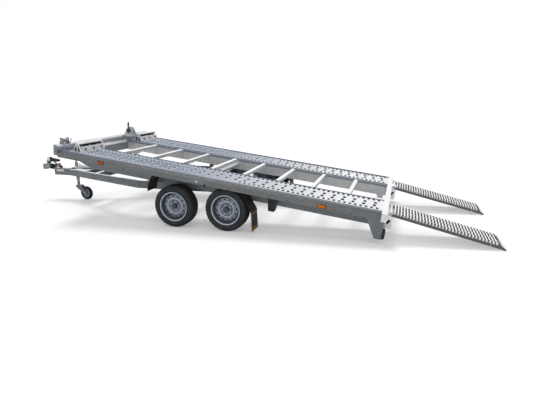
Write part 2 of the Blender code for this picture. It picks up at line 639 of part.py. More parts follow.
def build_jockey():
    """Clamped jockey tube, the swivelling fork below it and its wheel."""
    x = JOCKEY_TUBE_X
    tube = rod((x, 0, JOCKEY_TUBE_BOTTOM), (x, 0, JOCKEY_TUBE_TOP), JOCKEY_TUBE_RADIUS, 20)
    inner_y = rail_half_width(x + 0.02) - FRAME_SHEET * 1.1 - SEAT
    clamp_low = RAIL_BOTTOM + FRAME_SHEET + SEAT
    clamp_high = RAIL_TOP - FRAME_SHEET - SEAT
    clamp = box((x - 0.02, -inner_y, clamp_low), (x + 0.02, inner_y, clamp_high))
    knob = rod((x, 0, JOCKEY_TUBE_TOP - 0.005), (x, 0, JOCKEY_TUBE_TOP + 0.03), 0.012, 12)
    add_object("jockey_tube", joined(tube, clamp, knob), GALVANISED)

    hub = (JOCKEY_TUBE_X - JOCKEY_TRAIL, 0.0, JOCKEY_WHEEL_RADIUS)
    leg_inner = JOCKEY_WHEEL_HALF_WIDTH + SIDE_PLAY
    leg_outer = leg_inner + JOCKEY_LEG
    # The fork is drawn round its swivel axis
    stem = rod((0, 0, JOCKEY_CROWN_Z), (0, 0, JOCKEY_TUBE_BOTTOM - SEAT), JOCKEY_TUBE_RADIUS * 0.8, 16)
    crown = box((-0.055, -leg_outer, JOCKEY_CROWN_Z - 0.008), (0.03, leg_outer, JOCKEY_CROWN_Z + 0.002))
    fork = joined(stem, crown)
    for low, high in ((leg_inner, leg_outer), (-leg_outer, -leg_inner)):
        leg = prism(
            [(0.03, JOCKEY_CROWN_Z), (-0.055, JOCKEY_CROWN_Z), (-JOCKEY_TRAIL - 0.018, hub[2] + 0.012),
             (-JOCKEY_TRAIL - 0.016, hub[2] - 0.014), (-JOCKEY_TRAIL + 0.014, hub[2] - 0.018),
             (0.03, JOCKEY_CROWN_Z - 0.03)],
            "Y", low, high)
        fork = joined(fork, leg)
    pin_end = leg_outer + 0.004
    pin = rod((-JOCKEY_TRAIL, -pin_end, hub[2]), (-JOCKEY_TRAIL, pin_end, hub[2]), JOCKEY_PIN_RADIUS)
    add_object("jockey_fork", joined(fork, pin), GALVANISED, (JOCKEY_TUBE_X, 0, 0))

    width = JOCKEY_WHEEL_HALF_WIDTH
    bore = JOCKEY_PIN_RADIUS + PIN_PLAY
    half = ((bore, width), (0.022, width), (0.026, width * 0.55), (0.062, width * 0.55), (0.070, width),
            (0.095, width), (JOCKEY_WHEEL_RADIUS, width * 0.6))
    loop = list(half) + [(r, -y) for r, y in reversed(half)]
    add_object("jockey_wheel", turned(loop, steps=24), TYRE_RUBBER, hub)


def build_hand_pump():
    """Hand pump with its tank on a plate over the drawbar."""
    rear = DECK_REAR_X + PUMP_FROM_REAR
    front = rear + PUMP_PLATE_LENGTH
    low = RAIL_TOP + SEAT
    high = low + FRAME_SHEET
    rear_y = rail_half_width(rear) - 0.004
    front_y = rail_half_width(front) - 0.004
    plate = prism([(rear, -rear_y), (front, -front_y), (front, front_y), (rear, rear_y)], "Z", low, high)
    tank_z = high + PUMP_TANK_RADIUS - 0.002
    tank = rod((rear + 0.02, 0, tank_z), (front - 0.06, 0, tank_z), PUMP_TANK_RADIUS, 20)
    block = box((front - 0.075, -0.032, high - 0.001), (front - 0.015, 0.032, high + 0.06))
    lever = rod((front - 0.045, 0.018, high + 0.05), (front - 0.02, 0.018, high + 0.085), 0.009, 12)
    add_object("hand_pump", joined(plate, tank, block, lever), BRIGHT_STEEL)


def build_tracks():
    """Folded deck tracks."""
    front = DECK_LENGTH - END_BEAM_WIDTH - SEAT
    section = (
        (TRACK_INNER_Y, 0.0), (TRACK_OUTER_Y, 0.0), (TRACK_OUTER_Y, -TRACK_EDGE_DEPTH),
        (TRACK_OUTER_Y - DECK_SHEET, -TRACK_EDGE_DEPTH), (TRACK_OUTER_Y - DECK_SHEET, -DECK_SHEET),
        (TRACK_INNER_Y, -DECK_SHEET),
    )
    for side_name, side in SIDES:
        add_to_bed("track_" + side_name, mirrored(prism(section, "X", SEAT, front), side), GALVANISED)


def build_inner_webs():
    """Webs under the tracks' inner edges, which the pivot tube passes through, with a gusset behind."""
    front = DECK_LENGTH - END_BEAM_WIDTH - SEAT
    top = -DECK_SHEET - SEAT
    inner = TRACK_INNER_Y
    section = (
        (inner + INNER_WEB_LIP, -INNER_WEB_DEPTH), (inner, -INNER_WEB_DEPTH), (inner, top),
        (inner + DECK_SHEET, top), (inner + DECK_SHEET, DECK_SHEET - INNER_WEB_DEPTH),
        (inner + INNER_WEB_LIP, DECK_SHEET - INNER_WEB_DEPTH),
    )
    for side_name, side in SIDES:
        web = prism(section, "X", SEAT, front)
        gusset = prism(
            [(0.02, -0.03), (0.18, -0.03), (0.10, -INNER_GUSSET_DEPTH), (0.03, -INNER_GUSSET_DEPTH)],
            "Y", inner + 0.001, inner + 0.007)
        hole = rod((PIVOT_U, inner - 0.05, PIVOT_W), (PIVOT_U, inner + 0.05, PIVOT_W),
                   PIVOT_TUBE_RADIUS + SEAT, 24)
        add_to_bed("inner_web_" + side_name, mirrored(cut(joined(web, gusset), hole), side), GALVANISED)


def build_rear_gussets():
    """Plates that hang below the side rails' rear ends and carry the lamps."""
    rail_foot = -SIDE_RAIL_DEPTH - SEAT
    beam_foot = -REAR_BEAM_DEPTH - SEAT
    outline = [
        (GUSSET_TOP_U, rail_foot), (SEAT, rail_foot), (SEAT, beam_foot), (GUSSET_REAR_U, beam_foot),
        (GUSSET_REAR_U, -GUSSET_DEPTH), (GUSSET_FOOT_U, -GUSSET_DEPTH),
    ]
    outer = DECK_HALF_WIDTH - 0.001
    for side_name, side in SIDES:
        plate = prism(outline, "Y", outer - GUSSET_THICKNESS, outer)
        add_to_bed("rear_gusset_" + side_name, mirrored(plate, side), GALVANISED)


def build_side_rails():
    """Folded side rails with bevelled crowns."""
    inner = TRACK_OUTER_Y + SEAT
    outer = DECK_HALF_WIDTH
    crown = SIDE_RAIL_CROWN
    sheet = DECK_SHEET
    bevel = outer - SIDE_RAIL_BEVEL
    section = (
        (inner, -TRACK_EDGE_DEPTH), (inner, crown), (bevel, crown), (outer, crown - SIDE_RAIL_BEVEL / 2),
        (outer, -SIDE_RAIL_DEPTH), (outer - SIDE_RAIL_LIP, -SIDE_RAIL_DEPTH),
        (outer - SIDE_RAIL_LIP, sheet - SIDE_RAIL_DEPTH), (outer - sheet, sheet - SIDE_RAIL_DEPTH),
        (outer - sheet, crown - SIDE_RAIL_BEVEL / 2 - sheet * 0.6), (bevel - sheet * 0.3, crown - sheet),
        (inner + sheet, crown - sheet), (inner + sheet, -TRACK_EDGE_DEPTH),
    )
    for side_name, side in SIDES:
        rail = prism(section, "X", SEAT, DECK_LENGTH - END_BEAM_WIDTH - SEAT)
        add_to_bed("side_rail_" + side_name, mirrored(rail, side), GALVANISED)


def build_outer_webs():
    """Lower webs that stand inboard of the wheels and close the ramp bays."""
    inner = OUTER_WEB_Y - DECK_SHEET / 2
    outer = OUTER_WEB_Y + DECK_SHEET / 2
    front = DECK_LENGTH - END_BEAM_WIDTH - SEAT
    nose = front - OUTER_WEB_NOSE
    top = -DECK_SHEET - SEAT
    for side_name, side in SIDES:
        web = prism(
            [(SEAT, top), (front, top), (front, -OUTER_WEB_NOSE_DEPTH), (nose, -OUTER_WEB_DEPTH),
             (0.08, -OUTER_WEB_DEPTH), (SEAT, -REAR_BEAM_DEPTH)],
            "Y", inner, outer)
        lip = box((0.08, outer - OUTER_WEB_LIP, -OUTER_WEB_DEPTH), (nose, outer, DECK_SHEET - OUTER_WEB_DEPTH))
        add_to_bed("outer_web_" + side_name, mirrored(joined(web, lip), side), GALVANISED)


def build_end_beams():
    """Channel beams across both ends; the rear one carries the ramp hinges and the latch plates."""
    front_u = DECK_LENGTH
    rear_u = DECK_LENGTH - END_BEAM_WIDTH
    sheet = DECK_SHEET
    groove_u = rear_u + FRONT_GROOVE_DEPTH
    crown = FRONT_BEAM_ABOVE
    line = (
        (front_u, -FRONT_BEAM_BELOW), (rear_u, -FRONT_BEAM_BELOW), (rear_u, FRONT_GROOVE_LOW),
        (groove_u, FRONT_GROOVE_LOW), (groove_u, FRONT_GROOVE_HIGH), (rear_u, FRONT_GROOVE_HIGH),
        (rear_u, crown - FRONT_CROWN_BEVEL), (rear_u + FRONT_CROWN_BEVEL, crown), (front_u, crown),
    )
    beam = prism(offset_strip(line, sheet), "Y", -DECK_HALF_WIDTH, DECK_HALF_WIDTH)
    foot = -INNER_WEB_DEPTH + 0.005
    line = (
        (rear_u - 0.010, foot), (rear_u - FRONT_APRON_STANDOFF, foot),
        (rear_u - FRONT_APRON_STANDOFF, -FRONT_APRON_STANDOFF), (rear_u + sheet / 2, 0.0),
    )
    apron_half = TRACK_INNER_Y - SEAT
    apron = prism(offset_strip(line, sheet), "Y", -apron_half, apron_half)
    add_to_bed("front_beam", joined(beam, apron), GALVANISED)

    rear_u = -END_BEAM_WIDTH
    section = (
        (0.0, 0.0), (rear_u, 0.0), (rear_u, -REAR_BEAM_DEPTH), (0.0, -REAR_BEAM_DEPTH),
        (0.0, sheet - REAR_BEAM_DEPTH), (rear_u + sheet, sheet - REAR_BEAM_DEPTH), (rear_u + sheet, -sheet),
        (0.0, -sheet),
    )
    reach = DECK_HALF_WIDTH + REAR_BEAM_OVERHANG
    beam = prism(section, "Y", -reach, reach)
    details = []
    for side in (1.0, -1.0):
        middle = side * RAMP_CENTRE_Y
        lug_inner = RAMP_HALF_WIDTH + SIDE_PLAY
        hinge_bar = rod((RAMP_HINGE_U, middle - lug_inner - 0.004, RAMP_HINGE_W),
                        (RAMP_HINGE_U, middle + lug_inner + 0.004, RAMP_HINGE_W), RAMP_BAR_RADIUS)
        for low, high in ((-lug_inner - HINGE_LUG, -lug_inner), (lug_inner, lug_inner + HINGE_LUG)):
            lug = prism(
                [(rear_u + 0.002, RAMP_HINGE_W + 0.022), (RAMP_HINGE_U - 0.008, RAMP_HINGE_W + 0.018),
                 (RAMP_HINGE_U - 0.018, RAMP_HINGE_W), (RAMP_HINGE_U - 0.008, RAMP_HINGE_W - 0.018),
                 (rear_u + 0.002, RAMP_HINGE_W - 0.03)],
                "Y", middle + low, middle + high)
            hinge_bar = joined(hinge_bar, lug)
        latch = prism([(-0.12, -0.045), (-0.035, -0.045), (-0.035, -0.185), (-0.12, -0.185)],
                      "Y", middle + LATCH_OFFSET_Y, middle + LATCH_OFFSET_Y + LATCH_THICKNESS)
        details += [hinge_bar, latch]
    add_to_bed("rear_beam", joined(beam, gathered(details)), GALVANISED)


def build_rungs():
    """Rungs that tie the two tracks together; the cylinder's head is pinned to one of them."""
    half = TRACK_INNER_Y - SEAT
    foot_w = -RUNG_DROP - RUNG_DEPTH
    for number in range(1, RUNG_COUNT + 1):
        u = RUNG_FIRST_U + RUNG_PITCH * (number - 1)
        rung = box((u - RUNG_WIDTH / 2, -half, foot_w), (u + RUNG_WIDTH / 2, half, -RUNG_DROP))
        if number == CYLINDER_RUNG:
            inner = CYLINDER_EYE_HALF + SIDE_PLAY
            for low, high in ((-inner - CYLINDER_LUG, -inner), (inner, inner + CYLINDER_LUG)):
                lug = prism(
                    [(u - 0.018, foot_w + 0.002), (u + 0.02, foot_w + 0.002),
                     (CYLINDER_HEAD_U + 0.018, CYLINDER_HEAD_W - 0.004),
                     (CYLINDER_HEAD_U + 0.008, CYLINDER_HEAD_W - 0.018),
                     (CYLINDER_HEAD_U - 0.010, CYLINDER_HEAD_W - 0.018)],
                    "Y", low, high)
                rung = joined(rung, lug)
            reach = inner + CYLINDER_LUG / 2
            pin = rod((CYLINDER_HEAD_U, -reach, CYLINDER_HEAD_W), (CYLINDER_HEAD_U, reach, CYLINDER_HEAD_W),
                      CYLINDER_PIN_RADIUS)
            rung = joined(rung, pin)
        add_to_bed(f"rung_{number}", rung, GALVANISED)


def build_pivot_tube():
    """Tube that the bed tips on, carried by the brackets on the chassis rails."""
    reach = RAIL_HALF_WIDTH + 0.006
    bore = PIVOT_TUBE_RADIUS - PIVOT_TUBE_WALL
    ring = [(PIVOT_TUBE_RADIUS, -reach), (PIVOT_TUBE_RADIUS, reach), (bore, reach), (bore, -reach)]
    tube = moved(turned(ring, steps=24), (PIVOT_U, 0.0, PIVOT_W))
    add_to_bed("pivot_tube", tube, GALVANISED)


def build_lamps():
    """Round rear lamps behind the gusset plates."""
    face = GUSSET_REAR_U - SEAT
    back = GUSSET_REAR_U - LAMP_DEPTH
    y = DECK_HALF_WIDTH - LAMP_INSET
    profile = [(0.0, face), (LAMP_RADIUS, face), (LAMP_RADIUS, back + 0.012),
               (LAMP_RADIUS - 0.008, back + 0.002), (0.0, back)]
    for side_name, side in SIDES:
        lamp = moved(turned(profile, "X", closed=False, steps=24), (0.0, y, LAMP_W))
        add_to_bed("rear_lamp_" + side_name, mirrored(lamp, side), RED_LENS)


def offset_strip(line, thickness):
    """Return the closed outline of a bent sheet below and behind a line of (u, w) points."""
    lower = []
    for i, point in enumerate(line):
        before = Vector(line[max(i - 1, 0)])
        after = Vector(line[min(i + 1, len(line) - 1)])
        run = (after - before).normalized()
        lower.append((point[0] + run.y * thickness, point[1] - run.x * thickness))
    return list(line) + lower[::-1]


def build_mudguards():
    """Bent sheets over each pair of wheels, with a flap behind."""
    top = -TRACK_EDGE_DEPTH - SEAT
    line = [
        (GUARD_REAR_U - 0.245, -GUARD_FLAP_DEPTH), (GUARD_REAR_U - 0.205, -GUARD_SKIRT_DEPTH),
        (GUARD_REAR_U - 0.055, -0.095), (GUARD_REAR_U - 0.03, -0.055), (GUARD_REAR_U, top),
    ]
    # The nose bends down in a quarter of an oval
    for i in range(GUARD_NOSE_STEPS + 1):
        angle = math.radians(90 * i / GUARD_NOSE_STEPS)
        drop = (GUARD_SKIRT_DEPTH + top) * (1 - math.cos(angle))
        line.append((GUARD_FRONT_U - 0.06 + GUARD_NOSE_SWEEP * math.sin(angle), top - drop))
    low = OUTER_WEB_Y + DECK_SHEET / 2 + 0.004
    high = DECK_HALF_WIDTH - SIDE_RAIL_LIP - 0.003
    for side_name, side in SIDES:
        guard = prism(offset_strip(line, GUARD_SHEET), "Y", low, high)
        add_to_bed("mudguard_" + side_name, mirrored(guard, side), BLACK_PLASTIC)


def build_wheel_stops():
    """Wheel stops across the front of each track: a folded foot, a frame at each end and a top bar."""
    rear = STOP_U
    front = STOP_U + STOP_LENGTH
    bar_u = STOP_U + STOP_BAR_PLACE
    bar_w = STOP_HEIGHT - STOP_BAR_RADIUS
    foot = (
        (rear, SEAT), (rear + STOP_FOOT_SLOPE, STOP_FOOT_HEIGHT), (front - STOP_FOOT_SLOPE, STOP_FOOT_HEIGHT),
        (front, SEAT),
    )
    frame = (
        (rear, SEAT), (bar_u - 0.018, STOP_HEIGHT - 0.008), (bar_u - 0.010, STOP_HEIGHT),
        (bar_u + 0.010, STOP_HEIGHT), (bar_u + 0.018, STOP_HEIGHT - 0.008), (front, SEAT),
    )
    for side_name, side in SIDES:
        middle = side * (TRACK_INNER_Y + TRACK_OUTER_Y) / 2 + STOP_OFFSET_Y
        low = middle - STOP_WIDTH / 2
        high = middle + STOP_WIDTH / 2
        inset = STOP_FRAME / 2
        foot_plate = prism(offset_strip(foot, DECK_SHEET), "Y", low + inset, high - inset)
        bar = rod((bar_u, low + inset, bar_w), (bar_u, high - inset, bar_w), STOP_BAR_RADIUS, 14)
        frames = gathered([prism(offset_strip(frame, STOP_FRAME), "Y", low, low + STOP_FRAME),
                           prism(offset_strip(frame, STOP_FRAME), "Y", high - STOP_FRAME, high)])
        # The frames' feet are cut level with the foot plate's
        below = box((rear - 0.1, low - 0.1, -0.1), (front + 0.1, high + 0.1, SEAT))
        stop = cut(joined(frames, foot_plate, bar), below)
        add_to_bed("wheel_stop_" + side_name, stop, BRIGHT_STEEL)


def build_winch():
    """Hand winch on a bracket behind the front beam, with its drum and crank."""
    base_low = FRONT_BEAM_ABOVE + SEAT
    base_high = base_low + WINCH_PLATE
    inner = WINCH_HALF_GAP
    base = box((WINCH_U - 0.06, WINCH_Y - inner - WINCH_PLATE, base_low),
               (DECK_LENGTH, WINCH_Y + inner + WINCH_PLATE, base_high))
    cheek = [(WINCH_U - 0.06, base_low + 0.001), (WINCH_U - 0.035, WINCH_W + 0.03),
             (WINCH_U + 0.035, WINCH_W + 0.03), (WINCH_U + 0.09, base_low + 0.001)]
    left = prism(cheek, "Y", WINCH_Y + inner, WINCH_Y + inner + WINCH_PLATE)
    right = prism(cheek, "Y", WINCH_Y - inner - WINCH_PLATE, WINCH_Y - inner)
    hole = rod((WINCH_U, WINCH_Y - 0.1, WINCH_W), (WINCH_U, WINCH_Y + 0.1, WINCH_W),
               WINCH_SHAFT_RADIUS + PIN_PLAY, 20)
    # A round cover stands on the far cheek
    cover_u = WINCH_U + 0.006
    cover_y = WINCH_Y - inner - WINCH_PLATE
    cover = rod((cover_u, cover_y - 0.0065, WINCH_COVER_W), (cover_u, cover_y + 0.0005, WINCH_COVER_W),
                WINCH_COVER_RADIUS, 28)
    add_to_bed("winch_frame", cut(joined(base, left, right, cover), hole), DARK_STEEL)

    axis = (WINCH_U, WINCH_Y, WINCH_W)
    edge = inner - SIDE_PLAY
    tail = inner + WINCH_PLATE + 0.006
    half = [(0.0, tail), (WINCH_SHAFT_RADIUS, tail), (WINCH_SHAFT_RADIUS, edge), (WINCH_FLANGE_RADIUS, edge),
            (WINCH_FLANGE_RADIUS, edge - 0.004), (WINCH_DRUM_RADIUS, edge - 0.004)]
    drum = half + [(r, -y) for r, y in reversed(half)]
    shape = moved(turned(drum, closed=False, steps=20), axis)
    add_to_bed("winch_drum", shape, BRIGHT_STEEL, axis)

    start = WINCH_Y + tail + SEAT
    arm = prism(
        [(WINCH_U - 0.014, WINCH_W - 0.014), (WINCH_U + 0.014, WINCH_W - 0.014),
         (WINCH_U + 0.010, WINCH_W + CRANK_ARM), (WINCH_U - 0.010, WINCH_W + CRANK_ARM)],
        "Y", start, start + 0.006)
    grip_y = start + CRANK_GRIP_RADIUS - 0.003
    grip = rod((WINCH_U, grip_y, WINCH_W + CRANK_ARM - 0.012), (WINCH_U, grip_y, WINCH_W + CRANK_LENGTH),
               CRANK_GRIP_RADIUS, 14)
    add_to_bed("winch_crank", joined(arm, grip), DARK_STEEL, axis)


def build_corner_roller():
    """Rope roller on the front beam's left end."""
    rear = DECK_LENGTH - END_BEAM_WIDTH
    low = FRONT_BEAM_ABOVE + SEAT
    axis_w = low + 0.045
    middle = rear + END_BEAM_WIDTH / 2
    base = box((rear, ROLLER_Y - 0.06, low), (DECK_LENGTH, ROLLER_Y + 0.06, low + 0.006))
    roller = rod((middle, ROLLER_Y - 0.052, axis_w), (middle, ROLLER_Y + 0.052, axis_w), ROLLER_RADIUS, 20)
    cheek = [(rear, low + 0.001), (DECK_LENGTH, low + 0.001), (middle + 0.022, axis_w + 0.034),
             (middle - 0.022, axis_w + 0.034)]
    left = prism(cheek, "Y", ROLLER_Y + 0.05, ROLLER_Y + 0.056)
    right = prism(cheek, "Y", ROLLER_Y - 0.056, ROLLER_Y - 0.05)
    add_to_bed("corner_roller", joined(base, left, right, roller), DARK_STEEL)


def build_chocks():
    """Wheel chocks stowed under the side rails, behind the wheels."""
    top = -SIDE_RAIL_DEPTH - SEAT
    front = CHOCK_U + CHOCK_LENGTH
    outline = [(CHOCK_U, top), (front, top), (front - 0.015, top - CHOCK_DEPTH), (CHOCK_U + 0.025, top - CHOCK_DEPTH)]
    for side_name, side in SIDES:
        chock = prism(outline, "Y", DECK_HALF_WIDTH - 0.09, DECK_HALF_WIDTH - 0.004)
        add_to_bed("wheel_chock_" + side_name, mirrored(chock, side), BLACK_PLASTIC)


def build_tilt_cylinder():
    """Tilt cylinder from the second cross member to a rung, as barrel and rod."""
    foot = Vector((CYLINDER_FOOT_X, 0.0, CYLINDER_FOOT_Z))
    head = Vector(deck_point(CYLINDER_HEAD_U, 0.0, CYLINDER_HEAD_W))
    length = (head - foot).length
    rise = math.atan2(head.z - foot.z, head.x - foot.x)
    foot_bore = CYLINDER_PIN_RADIUS + PIN_PLAY
    head_bore = CYLINDER_PIN_RADIUS + CYLINDER_HEAD_PLAY
    foot_eye = foot_bore + CYLINDER_EYE_WALL
    head_eye = head_bore + CYLINDER_EYE_WALL
    barrel_end = length * 0.62
    rod_radius = CYLINDER_RADIUS * 0.5
    half = CYLINDER_EYE_HALF
    # The cylinder is drawn along X from its foot
    eye = rod((0, -half, 0), (0, half, 0), foot_eye, 20)
    barrel = joined(eye, rod((foot_eye * 0.7, 0, 0), (barrel_end, 0, 0), CYLINDER_RADIUS, 20))
    bore_cut = rod((0, -0.1, 0), (0, 0.1, 0), foot_bore, 20)
    rod_cut = rod((foot_eye * 2.2, 0, 0), (barrel_end + 0.01, 0, 0), rod_radius + PIN_PLAY, 20)
    add_object("tilt_barrel", cut(barrel, bore_cut, rod_cut), DARK_STEEL, foot, rise)

    eye = rod((length, -half, 0), (length, half, 0), head_eye, 20)
    stem = joined(eye, rod((barrel_end * 0.55, 0, 0), (length - head_bore - 0.002, 0, 0), rod_radius, 20))
    bore_cut = rod((length, -0.1, 0), (length, 0.1, 0), head_bore, 20)
    add_object("tilt_rod", cut(stem, bore_cut), BRIGHT_STEEL, foot, rise)


def build_ramps():
    """Two hinged ramps of side rails, cross bars and a tip plate, resting on the ground."""
    hinge = deck_point(RAMP_HINGE_U, 0.0, RAMP_HINGE_W)
    reach = math.hypot(RAMP_LENGTH, RAMP_BELOW_AXIS)
    slope = math.asin(hinge[2] / reach) - math.atan2(RAMP_BELOW_AXIS, RAMP_LENGTH)
    top = RAMP_ABOVE_AXIS
    low = -RAMP_BELOW_AXIS
    inner = RAMP_HALF_WIDTH - RAMP_RAIL
    side_outline = [(0.016, 0.014), (0.008, top), (-RAMP_LENGTH + 0.05, top), (-RAMP_LENGTH, low + 0.012),
                    (-RAMP_LENGTH, low), (0.006, low), (0.016, -0.012)]
    for side_name, side in SIDES:
        rails = gathered([prism(side_outline, "Y", inner, RAMP_HALF_WIDTH),
                          prism(side_outline, "Y", -RAMP_HALF_WIDTH, -inner)])
        bars = []
        x = -RAMP_FIRST_BAR
        while x > RAMP_TIP_LENGTH - RAMP_LENGTH:
            bar_foot = (x - RAMP_BAR_WIDTH, 0.001 - RAMP_HALF_WIDTH, top + RAMP_BAR_PROUD - RAMP_BAR_DEPTH)
            bars.append(box(bar_foot, (x, RAMP_HALF_WIDTH - 0.001, top + RAMP_BAR_PROUD)))
            x -= RAMP_BAR_PITCH
        end = -RAMP_LENGTH
        tip = prism(
            [(end + 0.051, top - 0.002), (end + 0.002, low + 0.012), (end + 0.006, low + 0.006),
             (end + 0.044, top - 0.012), (end + 0.051, top - 0.012)],
            "Y", -inner - 0.001, inner + 0.001)
        ramp = joined(rails, gathered(bars), tip)
        bore = rod((0, -0.3, 0), (0, 0.3, 0), RAMP_BAR_RADIUS + PIN_PLAY)
        place = (hinge[0], side * RAMP_CENTRE_Y, hinge[2])
        add_object("ramp_" + side_name, cut(ramp, bore), GALVANISED, place, slope)


clear_scene()
TRAILER = make_collection("car_hauler_trailer")
build_chassis_rails()
build_cross_members()
build_axles()
build_wheels()
build_coupling()
build_jockey()
build_hand_pump()
build_tracks()
build_inner_webs()
build_rear_gussets()
build_side_rails()
build_outer_webs()
build_end_beams()
build_rungs()
build_pivot_tube()
build_lamps()
build_mudguards()
build_wheel_stops()
build_winch()
build_corner_roller()
build_chocks()
build_tilt_cylinder()
build_ramps()
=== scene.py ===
"""The looks of a tilt bed car hauler trailer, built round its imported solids.

Metres, +Z up, +X towards the coupling, +Y to the left. Pieces of the bed are drawn level, as
(u forward from the deck's rear edge, y to the left, w up from the deck), and then tipped with it.
"""
import math

import bmesh
import bpy
from mathutils import Matrix, Vector


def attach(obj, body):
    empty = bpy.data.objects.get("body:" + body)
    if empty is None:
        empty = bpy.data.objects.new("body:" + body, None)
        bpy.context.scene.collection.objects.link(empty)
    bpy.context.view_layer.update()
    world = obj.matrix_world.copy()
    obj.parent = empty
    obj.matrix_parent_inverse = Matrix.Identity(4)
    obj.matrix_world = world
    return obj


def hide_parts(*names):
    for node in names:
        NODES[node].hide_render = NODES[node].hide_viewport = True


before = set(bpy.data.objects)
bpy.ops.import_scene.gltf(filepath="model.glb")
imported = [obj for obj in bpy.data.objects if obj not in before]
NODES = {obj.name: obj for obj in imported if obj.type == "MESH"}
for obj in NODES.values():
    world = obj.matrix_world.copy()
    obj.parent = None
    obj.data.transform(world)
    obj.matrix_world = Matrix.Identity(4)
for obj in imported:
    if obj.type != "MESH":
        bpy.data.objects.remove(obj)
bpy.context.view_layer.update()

SIDES = (("left", 1.0), ("right", -1.0))

# The deck's frame
DECK_REAR_X = -2.064
DECK_REAR_HEIGHT = 0.35799
DECK_HALF_WIDTH = 1.03
BED_TILT = math.radians(7.78)
BED = Matrix.Translation((DECK_REAR_X, 0.0, DECK_REAR_HEIGHT)) @ Matrix.Rotation(-BED_TILT, 4, "Y")
TIPPED_BODIES = ("bed", "winch")

# A piece stands this far off the solid under it, and points nearer than the join are one point
SEAT = 0.0003
JOIN = 0.00005

# Tracks
SHEET = 0.004
FOLD_SHEET = SHEET * 0.9
TRACK_INNER_Y = 0.44
TRACK_OUTER_Y = 0.935
TRACK_EDGE_DEPTH = 0.035
TRACK_FRONT_U = 4.1097
TREAD_PITCH = 0.1172
TREAD_FIRST_U = 0.030
FOLD_RADIUS = 0.009
FOLD_STEPS = 4
FOLD_BAND = 0.052

# Rows of raised openings: place across the track, places along one pitch, half sizes along and across
TREAD_ROWS = (
    ("inner", 0.539, (0.25, 0.75), 0.0155, 0.038),
    ("second", 0.670, (0.50,), 0.0185, 0.040),
    ("third", 0.784, (0.55,), 0.0185, 0.040),
    ("outer", 0.884, (0.25, 0.75), 0.0155, 0.034),
)
PLAIN_OUTER_FROM = 1.70
PLAIN_OUTER_TO = 2.52
RIM_HEIGHT = 0.0048
RIM_WIDTH = 0.0065

# Wheels
WHEEL_RADIUS = 0.2625
WHEEL_HALF_WIDTH = 0.0975
WHEEL_Y = 0.9125
RIM_FLANGE_RADIUS = 0.182
RIM_SEAT_RADIUS = 0.165
RIM_HALF_WIDTH = 0.085
AXLE_X = {"front": DECK_REAR_X + 2.463, "rear": DECK_REAR_X + 1.778}
RIM_TURN = {"front": 0.35, "rear": 0.9}
TYRE_SEGMENTS = 216
RIM_SEGMENTS = 72
VENT_COUNT = 12
VENT_CIRCLE = 0.1275
VENT_RADIUS = 0.0105
STUD_COUNT = 5
STUD_CIRCLE = 0.056
HOLE_CIRCLE = 0.0605

# Ramps
RAMP_HALF_WIDTH = 0.185
RAMP_CENTRE_Y = 0.685
RAMP_LENGTH = 1.178
RAMP_HINGE_U = -0.095
RAMP_HINGE_W = -0.032
RAMP_ABOVE_AXIS = 0.022
RAMP_BELOW_AXIS = 0.028
RAMP_RIB_PITCH = 0.0335
RAMP_RIB_BENDS = 6
RAMP_RIB_SWAY = 0.0032
RAMP_RIB_HALF_WIDTH = 0.0080
RAMP_BARS = 7

# Chassis and coupling end
RAIL_BOTTOM = 0.392
RAIL_TOP = 0.488
RAIL_HALF_WIDTH = 0.66
RAIL_KINK_X = DECK_REAR_X + 3.17
RAIL_NOSE_X = DECK_REAR_X + 4.80
RAIL_NOSE_HALF_WIDTH = 0.075
COUPLING_X = RAIL_NOSE_X + 0.2803
SHAFT_Z = 0.508
JOCKEY_X = DECK_REAR_X + 4.71
JOCKEY_TRAIL = 0.135
JOCKEY_RADIUS = 0.105

# Camera and lamps, turned in degrees
CAMERA_PLACE = (-2.23077, 5.49341, 1.58516)
CAMERA_YAW = math.radians(-72.322)
CAMERA_PITCH = math.radians(-13.891)
CAMERA_ROLL = math.radians(-0.984)
CAMERA_LENS = 29.06
LAMPS = (("key", 1.45, 24.0, (18.0, 14.0, 0.0)), ("fill", 0.35, 60.0, (-38.0, -22.0, 0.0)))

# Zinc colours by which way a face points at rest, painted light and shade: lit tops, a painted sky
# reflection on slopes, shaded sides and undersides; and the tread's painted reflection at the two ends of
# the deck
ZINC_ROUGHNESS = 0.46
ZINC_SIDE_PAINTED_SHADE = (0.158, 0.180, 0.190)
ZINC_SLOPE_PAINTED_REFLECTION = (0.300, 0.365, 0.450)
ZINC_TOP_PAINTED_LIGHT = (0.800, 0.815, 0.835)
ZINC_UNDER_PAINTED_SHADE = (0.120, 0.124, 0.130)
ZINC_WHITE_PAINTED_LIGHT = (0.88, 0.89, 0.90)
DECK_NEAR_PAINTED_REFLECTION = (0.84, 0.85, 0.87)
DECK_FAR_PAINTED_REFLECTION = (0.150, 0.200, 0.280)


def is_socket(value):
    """Tell a node's socket from a plain value."""
    return isinstance(value, bpy.types.NodeSocket)


def feed(tree, node, values):
    """Set a node's inputs, each from a socket or a plain value."""
    for key, value in values.items():
        if is_socket(value):
            tree.links.new(value, node.inputs[key])
        else:
            node.inputs[key].default_value = value


def grow(tree, kind, values=None, **options):
    """Add a node to a tree, with its options and its inputs."""
    node = tree.nodes.new("ShaderNode" + kind)
    for key, value in options.items():
        setattr(node, key, value)
    feed(tree, node, values or {})
    return node


